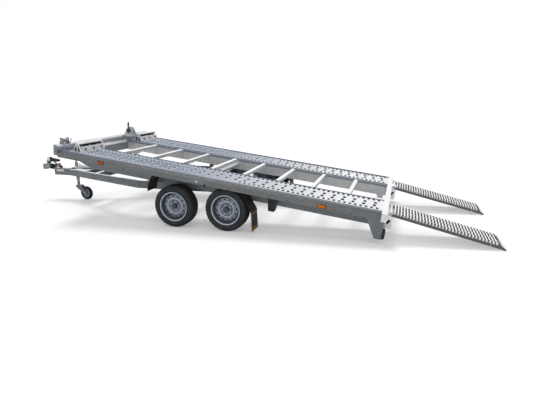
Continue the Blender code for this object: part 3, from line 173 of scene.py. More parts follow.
class Finish:
    """A Principled material whose node tree is put together a node at a time."""

    def __init__(self, name, roughness, metallic=0.0, shine=0.5):
        self.material = bpy.data.materials.new(name)
        self.material.use_nodes = True
        self.tree = self.material.node_tree
        self.shader = self.tree.nodes["Principled BSDF"]
        self.give({"Roughness": roughness, "Metallic": metallic, "Specular IOR Level": shine})
        self.place = self.node("TexCoord").outputs["Object"]

    def give(self, values):
        """Set inputs of the shader."""
        feed(self.tree, self.shader, values)

    def node(self, kind, values=None, **options):
        """Add a node."""
        return grow(self.tree, kind, values, **options)

    def stretched(self, scale):
        """Return object places, stretched by a factor along each axis if there is one."""
        if scale is None:
            return self.place
        return self.node("Mapping", {"Vector": self.place, "Scale": scale}).outputs["Vector"]

    def noise(self, scale, detail=3.0, stretch=None):
        """Return a noise value from 0 to 1."""
        values = {"Vector": self.stretched(stretch), "Scale": scale, "Detail": detail}
        return self.node("TexNoise", values).outputs["Fac"]

    def cells(self, scale, stretch=None):
        """Return a random value from 0 to 1 for each cell of a crystal pattern."""
        cells = self.node("TexVoronoi", {"Vector": self.stretched(stretch), "Scale": scale})
        return self.node("SeparateColor", {"Color": cells.outputs["Color"]}).outputs["Red"]

    def span(self, value, low, high, to_low=0.0, to_high=1.0):
        """Return a value moved from one range to another and held inside it."""
        values = {"Value": value, "From Min": low, "From Max": high, "To Min": to_low, "To Max": to_high}
        return self.node("MapRange", values).outputs["Result"]

    def mix(self, share, first, second, blend="MIX"):
        """Return two colours mixed; each is a socket or a plain colour."""
        colours = [value if is_socket(value) else (*value, 1.0) for value in (first, second)]
        node = self.node("Mix", data_type="RGBA", blend_type=blend)
        feed(self.tree, node, {0: share, 6: colours[0], 7: colours[1]})
        return node.outputs[2]

    def tone(self, colour, value, spread):
        """Return a colour made lighter and darker by a share as a value goes from 0 to 1."""
        factor = self.span(value, 0.0, 1.0, 1.0 - spread, 1.0 + spread)
        grey = self.node("CombineColor", {"Red": factor, "Green": factor, "Blue": factor})
        return self.mix(1.0, colour, grey.outputs["Color"], "MULTIPLY")

    def along(self, axis):
        """Return the object place along an axis."""
        return self.node("SeparateXYZ", {"Vector": self.place}).outputs[axis]

    def upward(self):
        """Return how far the surface faces up at rest, from -1 to 1."""
        normal = self.node("TexCoord").outputs["Normal"]
        return self.node("SeparateXYZ", {"Vector": normal}).outputs["Z"]

    def uneven(self, scale, low, high):
        """Return a roughness that wanders between two values."""
        return self.span(self.noise(scale), 0.3, 0.7, low, high)

    def done(self, colour, roughness, height, strength, distance):
        """Use a colour, a roughness and a height for bump, and return the material."""
        bump = self.node("Bump", {"Height": height, "Strength": strength, "Distance": distance})
        self.give({"Base Color": colour, "Roughness": roughness, "Normal": bump.outputs["Normal"]})
        return self.material

    def weathered(self, body):
        """Return zinc of a colour, with its spangle, run marks and stains."""
        body = self.tone(body, self.cells(70.0), 0.055)
        body = self.tone(body, self.cells(24.0, (1.0, 1.0, 0.6)), 0.045)
        body = self.tone(body, self.noise(5.0, 6.0, (0.6, 0.6, 2.5)), 0.15)
        stain = self.span(self.noise(2.2, 5.0, (0.8, 0.8, 5.0)), 0.56, 0.70, 0.0, 0.16)
        body = self.mix(stain, body, (0.30, 0.30, 0.29))
        rough = self.span(self.cells(55.0), 0.0, 1.0, ZINC_ROUGHNESS - 0.10, ZINC_ROUGHNESS + 0.12)
        return self.done(body, rough, self.noise(160.0, 4.0), 0.12, 0.002)


def zinc(name, side=ZINC_SIDE_PAINTED_SHADE, slope=ZINC_SLOPE_PAINTED_REFLECTION, top=ZINC_TOP_PAINTED_LIGHT, above=None):
    """Hot-dip zinc with painted light and shade by which way a face points at rest, brighter where it faces
    up; above gives a height and the sides' colour over it.
    """
    finish = Finish(name, ZINC_ROUGHNESS, 0.30)
    up = finish.upward()
    if above:
        side = finish.mix(finish.span(finish.along("Z"), above[0], above[0] + 0.01), side, above[1])
    # Painted light and shade: shade underneath, the side colour sideways, a sky reflection on slopes, light
    # on tops
    body = finish.mix(finish.span(up, -0.7, -0.2), ZINC_UNDER_PAINTED_SHADE, side)
    body = finish.mix(finish.span(up, 0.15, 0.55), body, slope)
    body = finish.mix(finish.span(up, 0.72, 0.97), body, top)
    return finish.weathered(body)


def rail_zinc(name):
    """Zinc of the side rails with painted light: a pale crown that turns to a painted blue-grey reflection
    to the front, a greyer painted crown on the right-hand rail, a painted shade line beside the tread, and
    shaded sides and bevels.
    """
    finish = Finish(name, ZINC_ROUGHNESS, shine=0.15)
    # Painted reflection: the crown goes from pale at the rear to blue-grey at the front
    share = finish.span(finish.along("X"), DECK_REAR_X + 0.4, DECK_REAR_X + 2.5)
    crown = finish.mix(share, (0.80, 0.82, 0.85), (0.270, 0.335, 0.430))
    # Painted shade: the crown of the right-hand rail is greyer
    across = finish.along("Y")
    crown = finish.mix(finish.span(across, -0.1, 0.1, 1.0, 0.0), crown, (0.46, 0.50, 0.56))
    # Painted shade: a dark blue line on the crown beside the tread
    distance = finish.node("Math", {0: across}, operation="ABSOLUTE").outputs["Value"]
    sides = {0: finish.span(distance, 0.960, 0.963), 1: finish.span(distance, 0.981, 0.984, 1.0, 0.0)}
    painted_shade_line = finish.node("Math", sides, operation="MULTIPLY").outputs["Value"]
    crown = finish.mix(painted_shade_line, crown, (0.090, 0.140, 0.240))
    # Painted shade: grey sides and darker bevels by which way they face, with the pale crown on top
    up = finish.upward()
    face = finish.mix(finish.span(up, 0.40, 0.70), (0.190, 0.195, 0.197), (0.100, 0.107, 0.116))
    return finish.weathered(finish.mix(finish.span(up, 0.93, 0.96), face, crown))


def deck_zinc(name, near, far, change=0.10, shine=0.15):
    """Zinc of the tracks, with a painted reflection: one tone at the rear that changes to another on the
    front half of the deck.
    """
    finish = Finish(name, 0.42, shine=shine)
    # Painted reflection: the near tone at the rear blends into the far tone to the front
    share = finish.span(finish.along("X"), DECK_REAR_X + 0.55, DECK_REAR_X + 2.65)
    body = finish.tone(finish.mix(share, near, far), finish.cells(80.0), change * 0.5)
    body = finish.tone(body, finish.noise(7.0, 6.0, (1.0, 2.5, 1.0)), change)
    scuff = finish.span(finish.noise(26.0, 8.0, (0.35, 3.0, 1.0)), 0.60, 0.75, 0.0, 0.22)
    body = finish.mix(scuff, body, (0.26, 0.27, 0.28))
    return finish.done(body, finish.uneven(40.0, 0.34, 0.56), finish.noise(220.0, 4.0), 0.10, 0.0015)


def plated(name, colour, roughness=0.30, metallic=0.75, dirt=(0.16, 0.15, 0.14)):
    """Bright plated or turned steel with fine draw lines and handling marks."""
    finish = Finish(name, roughness, metallic)
    body = finish.tone(colour, finish.noise(9.0, 6.0), 0.12)
    body = finish.tone(body, finish.noise(150.0, 2.0, (1.0, 0.15, 1.0)), 0.06)
    body = finish.mix(finish.span(finish.noise(13.0, 8.0), 0.58, 0.72, 0.0, 0.45), body, dirt)
    rough = finish.uneven(30.0, roughness - 0.08, roughness + 0.18)
    return finish.done(body, rough, finish.noise(300.0, 3.0, (1.0, 0.2, 1.0)), 0.08, 0.001)


def rubber(name, colour, dust):
    """Rubber with a dry bloom of road dust."""
    finish = Finish(name, 0.78, shine=0.35)
    body = finish.tone(colour, finish.noise(14.0, 6.0), 0.25)
    body = finish.mix(finish.span(finish.noise(6.0, 7.0), 0.42, 0.75, 0.0, 0.55), body, dust)
    return finish.done(body, finish.uneven(30.0, 0.66, 0.88), finish.noise(260.0, 5.0), 0.25, 0.0012)


def plastic(name, colour, roughness=0.42, shine=0.5):
    """Moulded plastic with a fine texture."""
    finish = Finish(name, roughness, shine=shine)
    dusty = [value * 2.2 + 0.012 for value in colour]
    body = finish.tone(colour, finish.noise(11.0, 5.0), 0.16)
    body = finish.mix(finish.span(finish.noise(5.0, 8.0), 0.60, 0.78, 0.0, 0.30), body, dusty)
    rough = finish.uneven(24.0, roughness - 0.06, roughness + 0.16)
    return finish.done(body, rough, finish.noise(420.0, 3.0), 0.18, 0.0008)


def lens(name, colour):
    """Moulded lamp lens with ribs."""
    finish = Finish(name, 0.16)
    values = {"Vector": finish.place, "Scale": 55.0, "Distortion": 0.0}
    ribs = finish.node("TexWave", values, bands_direction="X").outputs["Fac"]
    finish.give({"Coat Weight": 0.6, "Coat Roughness": 0.05})
    return finish.done(finish.tone(colour, ribs, 0.25), 0.16, ribs, 0.35, 0.0015)


LOOKS = {
    # Copies of zinc with painted light and shade, each with its own colours for sides, slopes and tops
    "zinc": zinc("galvanised_frame"),
    "rail": rail_zinc("galvanised_side_rail"),
    # Painted shade: the outer webs' sides are dark
    "web": zinc("galvanised_web", (0.190, 0.212, 0.226)),
    # Painted light: the inner webs' sides are lit pale
    "zinc_inner": zinc("galvanised_inner", (0.56, 0.57, 0.575), (0.26, 0.29, 0.33)),
    # Painted light: pale sides and near white slopes and tops
    "zinc_pale_painted_light": zinc("galvanised_pale_painted_light", (0.55, 0.57, 0.60), (0.80, 0.82, 0.86), (0.86, 0.87, 0.89)),
    # Painted light: sunlit white on every face
    "zinc_painted_sunlit": zinc("galvanised_painted_sunlit", (0.84, 0.85, 0.87), (0.86, 0.87, 0.89), ZINC_WHITE_PAINTED_LIGHT),
    # Painted light: the beam's sides are lighter above 0.91 m, its slopes lit near white
    "beam": zinc("galvanised_beam", (0.26, 0.27, 0.27), (0.84, 0.86, 0.89), (0.56, 0.57, 0.59),
                 (0.91, (0.52, 0.54, 0.57))),
    # Painted light: the rungs' sides are lit pale
    "rung": zinc("galvanised_rung", (0.62, 0.63, 0.65), (0.80, 0.81, 0.83), ZINC_WHITE_PAINTED_LIGHT),
    # Painted shade on the ramp ribs' sides, painted light on their tops
    "grate": zinc("ramp_grate", (0.100, 0.115, 0.135), (0.50, 0.52, 0.55), ZINC_WHITE_PAINTED_LIGHT),
    # Painted shade on the ramp's cheeks and bars
    "channel": zinc("ramp_channel", (0.105, 0.110, 0.115), (0.30, 0.32, 0.35)),
    # Painted reflection: the tread sheet is near white at the rear and dark blue-grey to the front
    "tread": deck_zinc("tread_sheet_painted_reflection", DECK_NEAR_PAINTED_REFLECTION, DECK_FAR_PAINTED_REFLECTION),
    # Painted highlight: the raised rims stay near white to the front, where the sheet turns dark
    "tread_rim": deck_zinc("tread_rims_painted_highlight", (0.88, 0.89, 0.91), (0.86, 0.88, 0.91), 0.05),
    # Painted shade: the deep walls of the openings are dark navy
    "tread_hole": deck_zinc("tread_openings_painted_shade", (0.018, 0.030, 0.070), (0.030, 0.050, 0.100), shine=0.0),
    # Painted shade: the outer folds and the band beside the inner fold are dark blue
    "fold": deck_zinc("tread_folds_painted_shade", (0.040, 0.070, 0.140), (0.075, 0.120, 0.210), shine=0.0),
    # Painted shade and light: the upper walls of the openings are dark navy at the rear and lit near white
    # to the front
    "tread_wall": deck_zinc("tread_walls_painted_shade_and_light", (0.024, 0.042, 0.095), (0.82, 0.84, 0.87), shine=0.05),
    # Painted shade: a dark grey for the edge faces under the inner folds
    "edge": deck_zinc("track_edge_painted_shade", (0.250, 0.270, 0.300), (0.200, 0.240, 0.300)),
    "bright": plated("zinc_plated", (0.66, 0.67, 0.69)),
    "dark_steel": plated("dark_steel", (0.085, 0.09, 0.10), 0.42, 0.6),
    "bolt": plated("plated_bolts", (0.46, 0.47, 0.48), 0.34),
    "wheel": plated("wheel_silver", (0.205, 0.240, 0.285), 0.36, 0.45, (0.10, 0.10, 0.105)),
    # Painted highlight: a lighter silver for the rim's lip and raised ring
    "wheel_edge": plated("wheel_lip_painted_highlight", (0.45, 0.50, 0.56), 0.30, 0.5),
    # Painted shade: a dark tone for the recess between disc and lip, also used on the middle of the hub
    "wheel_well": plated("wheel_well", (0.055, 0.065, 0.085), 0.50, 0.3, (0.04, 0.04, 0.04)),
    "gap": plastic("shadowed_opening", (0.008, 0.009, 0.012), 0.8, 0.1),
    "tyre": rubber("tyre_rubber", (0.020, 0.021, 0.024), (0.060, 0.062, 0.066)),
    "jockey_tyre": rubber("solid_rubber", (0.012, 0.013, 0.016), (0.05, 0.05, 0.05)),
    "black": plastic("black_plastic", (0.012, 0.013, 0.016), shine=0.3),
    "guard": plastic("mudguard_plastic", (0.020, 0.019, 0.018), 0.55, 0.18),
    "red": lens("red_lens", (0.22, 0.008, 0.010)),
    "amber": plastic("amber_lens", (0.36, 0.085, 0.004), 0.35, 0.15),
    # Painted light: the rear marker's lens, a brighter copy of the front marker's amber
    "marker_painted_light": plastic("marker_lens_painted_light", (0.64, 0.165, 0.005), 0.35, 0.15),
    "amber_band": plastic("amber_band", (0.55, 0.26, 0.03), 0.5),
    "plate": plastic("blank_plate", (0.62, 0.64, 0.66), 0.35),
}

# Looks of the frame's nodes by the start of their names; the others are plain zinc, with its painted light
# and shade by facing
NODE_LOOKS = {
    "tyre": "tyre", "rim": "wheel", "jockey_wheel": "jockey_tyre", "mudguard": "guard",
    "wheel_chock": "black", "coupling_handle": "black", "rear_lamp": "black", "winch_frame": "zinc_pale_painted_light",
    "winch_crank": "dark_steel", "winch_drum": "bright", "corner_roller": "web",
    "handbrake_lever": "dark_steel", "tilt_barrel": "dark_steel", "tilt_rod": "bright",
    "hand_pump": "zinc_pale_painted_light", "jockey_tube": "beam", "coupling_head": "beam", "wheel_stop": "zinc_painted_sunlit",
    "inner_web": "zinc_inner", "outer_web": "web", "rung": "rung", "pivot_tube": "zinc_pale_painted_light",
    "side_rail": "rail", "rear_beam": "zinc_painted_sunlit", "front_beam": "beam",
}


def mesh_of(bm, name="shape"):
    """Turn a shape into a mesh."""
    mesh = bpy.data.meshes.new(name)
    bm.to_mesh(mesh)
    bm.free()
    return mesh


def linked(name, data):
    """Return a new object of the scene."""
    obj = bpy.data.objects.new(name, data)
    bpy.context.scene.collection.objects.link(obj)
    return obj


def final_shape(obj):
    """Return the shape of an object with its modifiers worked out."""
    bpy.context.view_layer.update()
    graph = bpy.context.evaluated_depsgraph_get()
    mesh = bpy.data.meshes.new_from_object(obj.evaluated_get(graph))
    bm = bmesh.new()
    bm.from_mesh(mesh)
    bpy.data.meshes.remove(mesh)
    return bm


def arc(centre, radius, start, end, steps):
    """Return points of an arc in a plane, between two angles in degrees."""
    points = []
    for i in range(steps + 1):
        angle = math.radians(start + (end - start) * i / steps)
        points.append((centre[0] + radius * math.cos(angle), centre[1] + radius * math.sin(angle)))
    return points


def circle(centre, radius, count, start=0.0):
    """Return evenly spaced points of a circle, from an angle in degrees."""
    return arc(centre, radius, start, start + 360.0, count)[:-1]


def box(low, high):
    """Return a box between two corners."""
    bm = bmesh.new()
    bmesh.ops.create_cube(bm, size=1.0)
    bmesh.ops.scale(bm, vec=[b - a for a, b in zip(low, high)], verts=bm.verts)
    return shifted(bm, [(a + b) / 2 for a, b in zip(low, high)])


def soft_box(low, high, radius):
    """Return a box with bevelled edges."""
    bm = box(low, high)
    bmesh.ops.bevel(bm, geom=bm.edges[:], offset=radius, segments=2, affect="EDGES", profile=0.5)
    return bm


def pad(u, w, half_u, half_w, y, thick, radius):
    """Return a bevelled plate on an upright face that looks to the left."""
    return soft_box((u - half_u, y, w - half_w), (u + half_u, y + thick, w + half_w), radius)


def rod(start, end, radius, sides=20, end_radius=None):
    """Return a cylinder or a cone between two points."""
    start = Vector(start)
    end = Vector(end)
    bm = bmesh.new()
    bmesh.ops.create_cone(bm, cap_ends=True, segments=sides, radius1=radius, depth=(end - start).length,
                          radius2=radius if end_radius is None else end_radius)
    turn = (end - start).to_track_quat("Z", "Y").to_matrix().to_4x4()
    return moved(bm, Matrix.Translation((start + end) / 2) @ turn)


def prism(outline, low, high, axis="Y"):
    """Return a flat outline pushed along an axis; its points give the other two axes in order."""
    bm = bmesh.new()
    number = "XYZ".index(axis)
    face = bm.faces.new([bm.verts.new((*point[:number], low, *point[number:])) for point in outline])
    pushed = bmesh.ops.extrude_face_region(bm, geom=[face])["geom"]
    shift = [high - low if axis == name else 0.0 for name in "XYZ"]
    bmesh.ops.translate(bm, vec=shift, verts=[v for v in pushed if isinstance(v, bmesh.types.BMVert)])
    bmesh.ops.recalc_face_normals(bm, faces=bm.faces)
    return bm


def bent_sheet(line, thickness):
    """Return the closed outline of a bent sheet to the right of a line of points."""
    lower = []
    for i, point in enumerate(line):
        before = Vector(line[max(i - 1, 0)])
        after = Vector(line[min(i + 1, len(line) - 1)])
        run = (after - before).normalized()
        lower.append((point[0] + run.y * thickness, point[1] - run.x * thickness))
    return list(line) + lower[::-1]


def skin(rings, ring_closed=True, row_closed=True):
    """Return the faces between rings of points; each ring, and the row of rings, can be closed."""
    bm = bmesh.new()
    rows = [[bm.verts.new(point) for point in ring] for ring in rings]
    count = len(rows[0]) if ring_closed else len(rows[0]) - 1
    for ring, after in zip(rows, rows[1:] + rows[:1] if row_closed else rows[1:]):
        for j in range(count):
            k = (j + 1) % len(ring)
            bm.faces.new((ring[j], ring[k], after[k], after[j]))
    return bm


def sealed(bm):
    """Join a shape's doubled points and turn its faces outwards."""
    bmesh.ops.remove_doubles(bm, verts=bm.verts, dist=JOIN)
    bmesh.ops.recalc_face_normals(bm, faces=bm.faces)
    return bm


def turned(profile, axis="Y", steps=48, closed=False):
    """Return a profile of (radius, place along the axis) turned once about Y or X."""
    rings = []
    for across, up in circle((0.0, 0.0), 1.0, steps, -90.0):
        if axis == "Y":
            rings.append([(radius * across, place, radius * up) for radius, place in profile])
        else:
            rings.append([(place, radius * across, radius * up) for radius, place in profile])
    return sealed(skin(rings, closed))


def tube(points, radius, sides=10):
    """Return a round bar that follows a line of points."""
    points = [Vector(point) for point in points]
    rings = []
    side = None
    for before, point, after in zip(points[:1] + points, points, points[1:] + points[-1:]):
        run = (after - before).normalized()
        if side is None:
            side = run.cross(Vector((0.31, 0.52, 0.79))).normalized()
        side = (side - run * side.dot(run)).normalized()
        up = run.cross(side)
        rings.append([point + a * side + b * up for a, b in circle((0.0, 0.0), radius, sides)])
    bm = skin(rings, True, False)
    bm.verts.ensure_lookup_table()
    bm.faces.new(bm.verts[:sides])
    bm.faces.new(bm.verts[-sides:])
    return sealed(bm)


def together(shapes):
    """Return one shape that holds several, keeping which material each face has."""
    whole = bmesh.new()
    for bm in shapes:
        mesh = mesh_of(bm)
        whole.from_mesh(mesh)
        bpy.data.meshes.remove(mesh)
    return whole


def shifted(bm, shift):
    """Move a shape and return it."""
    bmesh.ops.translate(bm, vec=shift, verts=bm.verts)
    return bm


def moved(bm, matrix):
    """Move and turn a shape and return it."""
    bmesh.ops.transform(bm, matrix=matrix, verts=bm.verts)
    return bm


def flipped(bm, side):
    """Reflect a left-hand shape to the right when side is -1."""
    if side < 0:
        bmesh.ops.scale(bm, vec=(1.0, -1.0, 1.0), verts=bm.verts)
        bmesh.ops.reverse_faces(bm, faces=bm.faces)
    return bm


def bolt(place, direction, radius, height):
    """Return a hexagon head on its washer, standing out of a face."""
    place = Vector(place)
    reach = Vector(direction).normalized() * height
    return together([
        rod(place, place + reach * 0.25, radius * 1.45, 16),
        rod(place + reach * 0.2, place + reach, radius, 6),
        rod(place + reach * 0.9, place + reach * 1.35, radius * 0.55, 10),
    ])


class Shapes(list):
    """The shapes of one piece."""

    def add(self, bm, index=0):
        """Add a shape in one of the piece's materials."""
        for face in bm.faces:
            face.material_index = index
        self.append(bm)


def shade(mesh, sharp):
    """Shade a mesh smooth, but for edges sharper than an angle in degrees."""
    mesh.shade_smooth()
    mesh.set_sharp_from_angle(angle=math.radians(sharp))


def piece(name, shapes, looks, body="bed", replaces=(), sharp=32.0, side=1.0):
    """Make a piece of shapes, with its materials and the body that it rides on."""
    bm = flipped(together(shapes), side)
    if body in TIPPED_BODIES:
        moved(bm, BED)
    mesh = mesh_of(bm, name)
    shade(mesh, sharp)
    for look in looks:
        mesh.materials.append(LOOKS[look])
    obj = linked(name, mesh)
    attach(obj, body)
    if replaces:
        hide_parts(*replaces)


def dress_nodes():
    """Give each node of the frame its material."""
    for name, node in NODES.items():
        look = next((look for start, look in NODE_LOOKS.items() if name.startswith(start)), "zinc")
        node.data.materials.clear()
        node.data.materials.append(LOOKS[look])
        shade(node.data, 32.0)


def oval(centre, along, across):
    """Return the points of a squarish oval round a place on the deck."""
    points = []
    for c, s in circle((0.0, 0.0), 1.0, 14):
        swell = max(abs(c), abs(s)) ** -0.35
        points.append((centre[0] + along * c * swell, centre[1] + across * s * swell))
    return points


def raised_rim(centre, along, across):
    """Return the rim round an opening of the tread: outer slope, crest, inner slope and a wall of painted
    shade, whose upper part turns to painted light to the front.
    """
    levels = (
        (RIM_WIDTH, 0.0, 1), (RIM_WIDTH * 0.45, RIM_HEIGHT * 0.9, 1), (RIM_WIDTH * 0.15, RIM_HEIGHT, 1),
        (0.0, RIM_HEIGHT * 0.8, 1), (0.0, -0.0030, 4), (0.0, -0.0120, 2),
    )
    rings = []
    for growth, height, _ in levels:
        rings.append([(u, y, height) for u, y in oval(centre, along + growth, across + growth)])
    bm = skin(rings, True, False)
    for number, face in enumerate(bm.faces):
        face.material_index = levels[number // len(rings[0]) + 1][2]
    return bm


def tread_tile(openings):
    """Return one pitch of the tread: a flat sheet with openings and their raised rims."""
    inner = TRACK_INNER_Y + FOLD_BAND
    outer = TRACK_OUTER_Y - FOLD_RADIUS
    curve = bpy.data.curves.new("tile", "CURVE")
    curve.dimensions = "2D"
    curve.fill_mode = "BOTH"
    curve.extrude = SHEET / 2
    outlines = [[(0.0, inner), (TREAD_PITCH, inner), (TREAD_PITCH, outer), (0.0, outer)]]
    for outline in outlines + [oval(*opening) for opening in openings]:
        spline = curve.splines.new("POLY")
        spline.points.add(len(outline) - 1)
        for point, (u, y) in zip(spline.points, outline):
            point.co = (u, y, 0.0, 1.0)
        spline.use_cyclic_u = True
    obj = linked("tile", curve)
    sheet = shifted(final_shape(obj), (0.0, 0.0, -SHEET / 2))
    bpy.data.objects.remove(obj)
    for end in (0.0, TREAD_PITCH):
        walls = [face for face in sheet.faces if all(abs(v.co.x - end) < JOIN for v in face.verts)]
        bmesh.ops.delete(sheet, geom=walls, context="FACES_ONLY")
    return together([sheet] + [raised_rim(*opening) for opening in openings])


def build_track(side_name, side):
    """Perforated track: tread tiles, a band of painted shade and rounded folds along both edges."""
    count = int((TRACK_FRONT_U - TREAD_FIRST_U) / TREAD_PITCH)
    tiles = []
    for rows in (TREAD_ROWS, TREAD_ROWS[:-1]):
        openings = []
        for _, y, shares, along, across in rows:
            openings += [((share * TREAD_PITCH, y), along, across) for share in shares]
        tiles.append(mesh_of(tread_tile(openings)))
    whole = bmesh.new()
    for i in range(count):
        u = TREAD_FIRST_U + i * TREAD_PITCH
        before = len(whole.verts)
        whole.from_mesh(tiles[PLAIN_OUTER_FROM < u + TREAD_PITCH / 2 < PLAIN_OUTER_TO])
        whole.verts.ensure_lookup_table()
        bmesh.ops.translate(whole, vec=(u, 0.0, 0.0), verts=whole.verts[before:])
    for mesh in tiles:
        bpy.data.meshes.remove(mesh)
    inner, outer, r = TRACK_INNER_Y, TRACK_OUTER_Y, FOLD_RADIUS
    band = inner + FOLD_BAND
    last = TREAD_FIRST_U + count * TREAD_PITCH
    outer_fold = arc((outer - r, -r), r, 90, 0, FOLD_STEPS) + [(outer, -TRACK_EDGE_DEPTH)]
    inner_fold = [(inner, -r)] + arc((inner + r, -r), r, 170, 90, FOLD_STEPS)
    shapes = Shapes([whole])
    shapes.add(box((SEAT, band, -SHEET), (TREAD_FIRST_U, outer - r, 0.0)))
    shapes.add(box((last, band, -SHEET), (TRACK_FRONT_U, outer - r, 0.0)))
    # Painted shade: the outer fold and the band beside the inner fold in the dark fold colour, the inner
    # fold and its edge in the dark edge grey
    shapes.add(prism(bent_sheet(outer_fold, FOLD_SHEET), SEAT, TRACK_FRONT_U, "X"), 3)
    shapes.add(prism(bent_sheet(inner_fold, FOLD_SHEET), SEAT, TRACK_FRONT_U, "X"), 5)
    shapes.add(box((SEAT, inner + r, -FOLD_SHEET), (TRACK_FRONT_U, band, 0.0)), 3)
    shapes.add(box((SEAT, inner - SEAT, -TRACK_EDGE_DEPTH), (TRACK_FRONT_U, inner + FOLD_SHEET, -r)), 5)
    looks = ("tread", "tread_rim", "tread_hole", "fold", "tread_wall", "edge")
    piece("tread_track_" + side_name, [sealed(together(shapes))], looks, "bed",
          ("track_" + side_name,), 25.0, side)


def tyre_outline():
    """Half outline of the tyre from the bead to the crown, as (radius, place outwards, kind of point)."""
    half = WHEEL_HALF_WIDTH
    edge = RIM_HALF_WIDTH
    return (
        (RIM_SEAT_RADIUS + SEAT, edge - 0.007, "wall"), (RIM_FLANGE_RADIUS + 0.001, edge - 0.007, "wall"),
        (RIM_FLANGE_RADIUS + 0.004, edge + 0.001, "wall"), (0.191, edge + 0.006, "wall"),
        (0.193, edge + 0.0045, "wall"), (0.203, half - 0.002, "wall"), (0.215, half - 0.0005, "wall"),
        (0.222, half - 0.001, "wall"), (0.2235, half + 0.0006, "wall"), (0.2275, half + 0.0004, "wall"),
        (0.229, half - 0.0018, "wall"), (0.240, half - 0.005, "wall"), (0.2475, half - 0.009, "lug"),
        (0.2545, half - 0.016, "lug"), (0.2585, half - 0.025, "lug"), (0.2605, half - 0.036, "lug"),
        (0.2608, 0.0535, "rib"), (0.2535, 0.0520, "groove"), (0.2535, 0.0455, "groove"),
        (0.2612, 0.0440, "rib"), (0.2620, 0.0300, "sipe"), (0.2622, 0.0225, "rib"),
        (0.2545, 0.0210, "groove"), (0.2545, 0.0145, "groove"), (0.2624, 0.0130, "rib"),
        (WHEEL_RADIUS, 0.0045, "sipe"),
    )


def build_tyre(end, side_name, side):
    """Road tyre with moulded tread blocks, grooves and sidewall ribs."""
    half = tyre_outline()
    loop = half + tuple((radius, -y, kind) for radius, y, kind in reversed(half))
    rings = []
    for i, (across, up) in enumerate(circle((0.0, 0.0), 1.0, TYRE_SEGMENTS, -90.0)):
        ring = []
        for radius, y, kind in loop:
            if kind == "lug" and (i + 2 * (y < 0)) % 6 == 0:
                radius -= 0.0055
            if kind == "sipe" and (i + (y < 0)) % 4 == 0:
                radius -= 0.0035
            ring.append((radius * across, y, radius * up))
        rings.append(ring)
    tyre = shifted(sealed(skin(rings)), (AXLE_X[end], side * WHEEL_Y, WHEEL_RADIUS))
    name = f"{end}_{side_name}"
    piece("road_tyre_" + name, [tyre], ("tyre",), "wheel_" + name, ("tyre_" + name,), 28.0)


def rim_outline():
    """Outline of the rim from the hub cap outwards and back behind the disc, as (radius, place outwards)."""
    edge = RIM_HALF_WIDTH
    inside = RIM_SEAT_RADIUS - 0.005
    return (
        (0.0, 0.0760), (0.020, 0.0755), (0.027, 0.0720), (0.0295, 0.0640), (0.030, 0.0375), (0.034, 0.0345),
        (0.070, 0.0340), (0.0745, 0.0365), (0.0790, 0.0440), (0.0850, 0.0505), (0.0930, 0.0535),
        (0.1000, 0.0520), (0.1050, 0.0480), (0.1120, 0.0470), (0.1280, 0.0485), (0.1400, 0.0450),
        (0.1480, 0.0395), (0.1540, 0.0370), (inside - 0.003, 0.0380), (inside, 0.0420), (inside, 0.0640),
        (inside + 0.002, 0.0670), (0.1660, 0.0700), (0.1680, 0.0760), (0.1700, edge - 0.0030),
        (0.1760, edge - 0.0010), (RIM_FLANGE_RADIUS, edge), (RIM_FLANGE_RADIUS, edge - 0.005),
        (0.172, edge - 0.006), (RIM_SEAT_RADIUS, edge - 0.012), (RIM_SEAT_RADIUS, 0.012 - edge),
        (RIM_FLANGE_RADIUS, 0.005 - edge), (RIM_FLANGE_RADIUS, -edge), (inside, 0.002 - edge),
        (inside, -0.03), (0.135, -0.022), (0.135, 0.010), (inside, 0.018), (inside, 0.030), (0.150, 0.0310),
        (0.140, 0.0390), (0.128, 0.0425), (0.112, 0.0410), (0.105, 0.0420), (0.093, 0.0470),
        (0.088, 0.0440), (0.088, -0.050), (0.022, -0.050), (0.022, 0.056), (0.0, 0.056),
    )


def cut_shape(bm, cutters):
    """Return a shape with cutters taken out of it."""
    base = linked("base", mesh_of(bm))
    tool = linked("tool", mesh_of(together(cutters)))
    change = base.modifiers.new("change", "BOOLEAN")
    change.operation = "DIFFERENCE"
    change.solver = "EXACT"
    change.object = tool
    result = final_shape(base)
    for obj in (base, tool):
        bpy.data.objects.remove(obj)
    return result


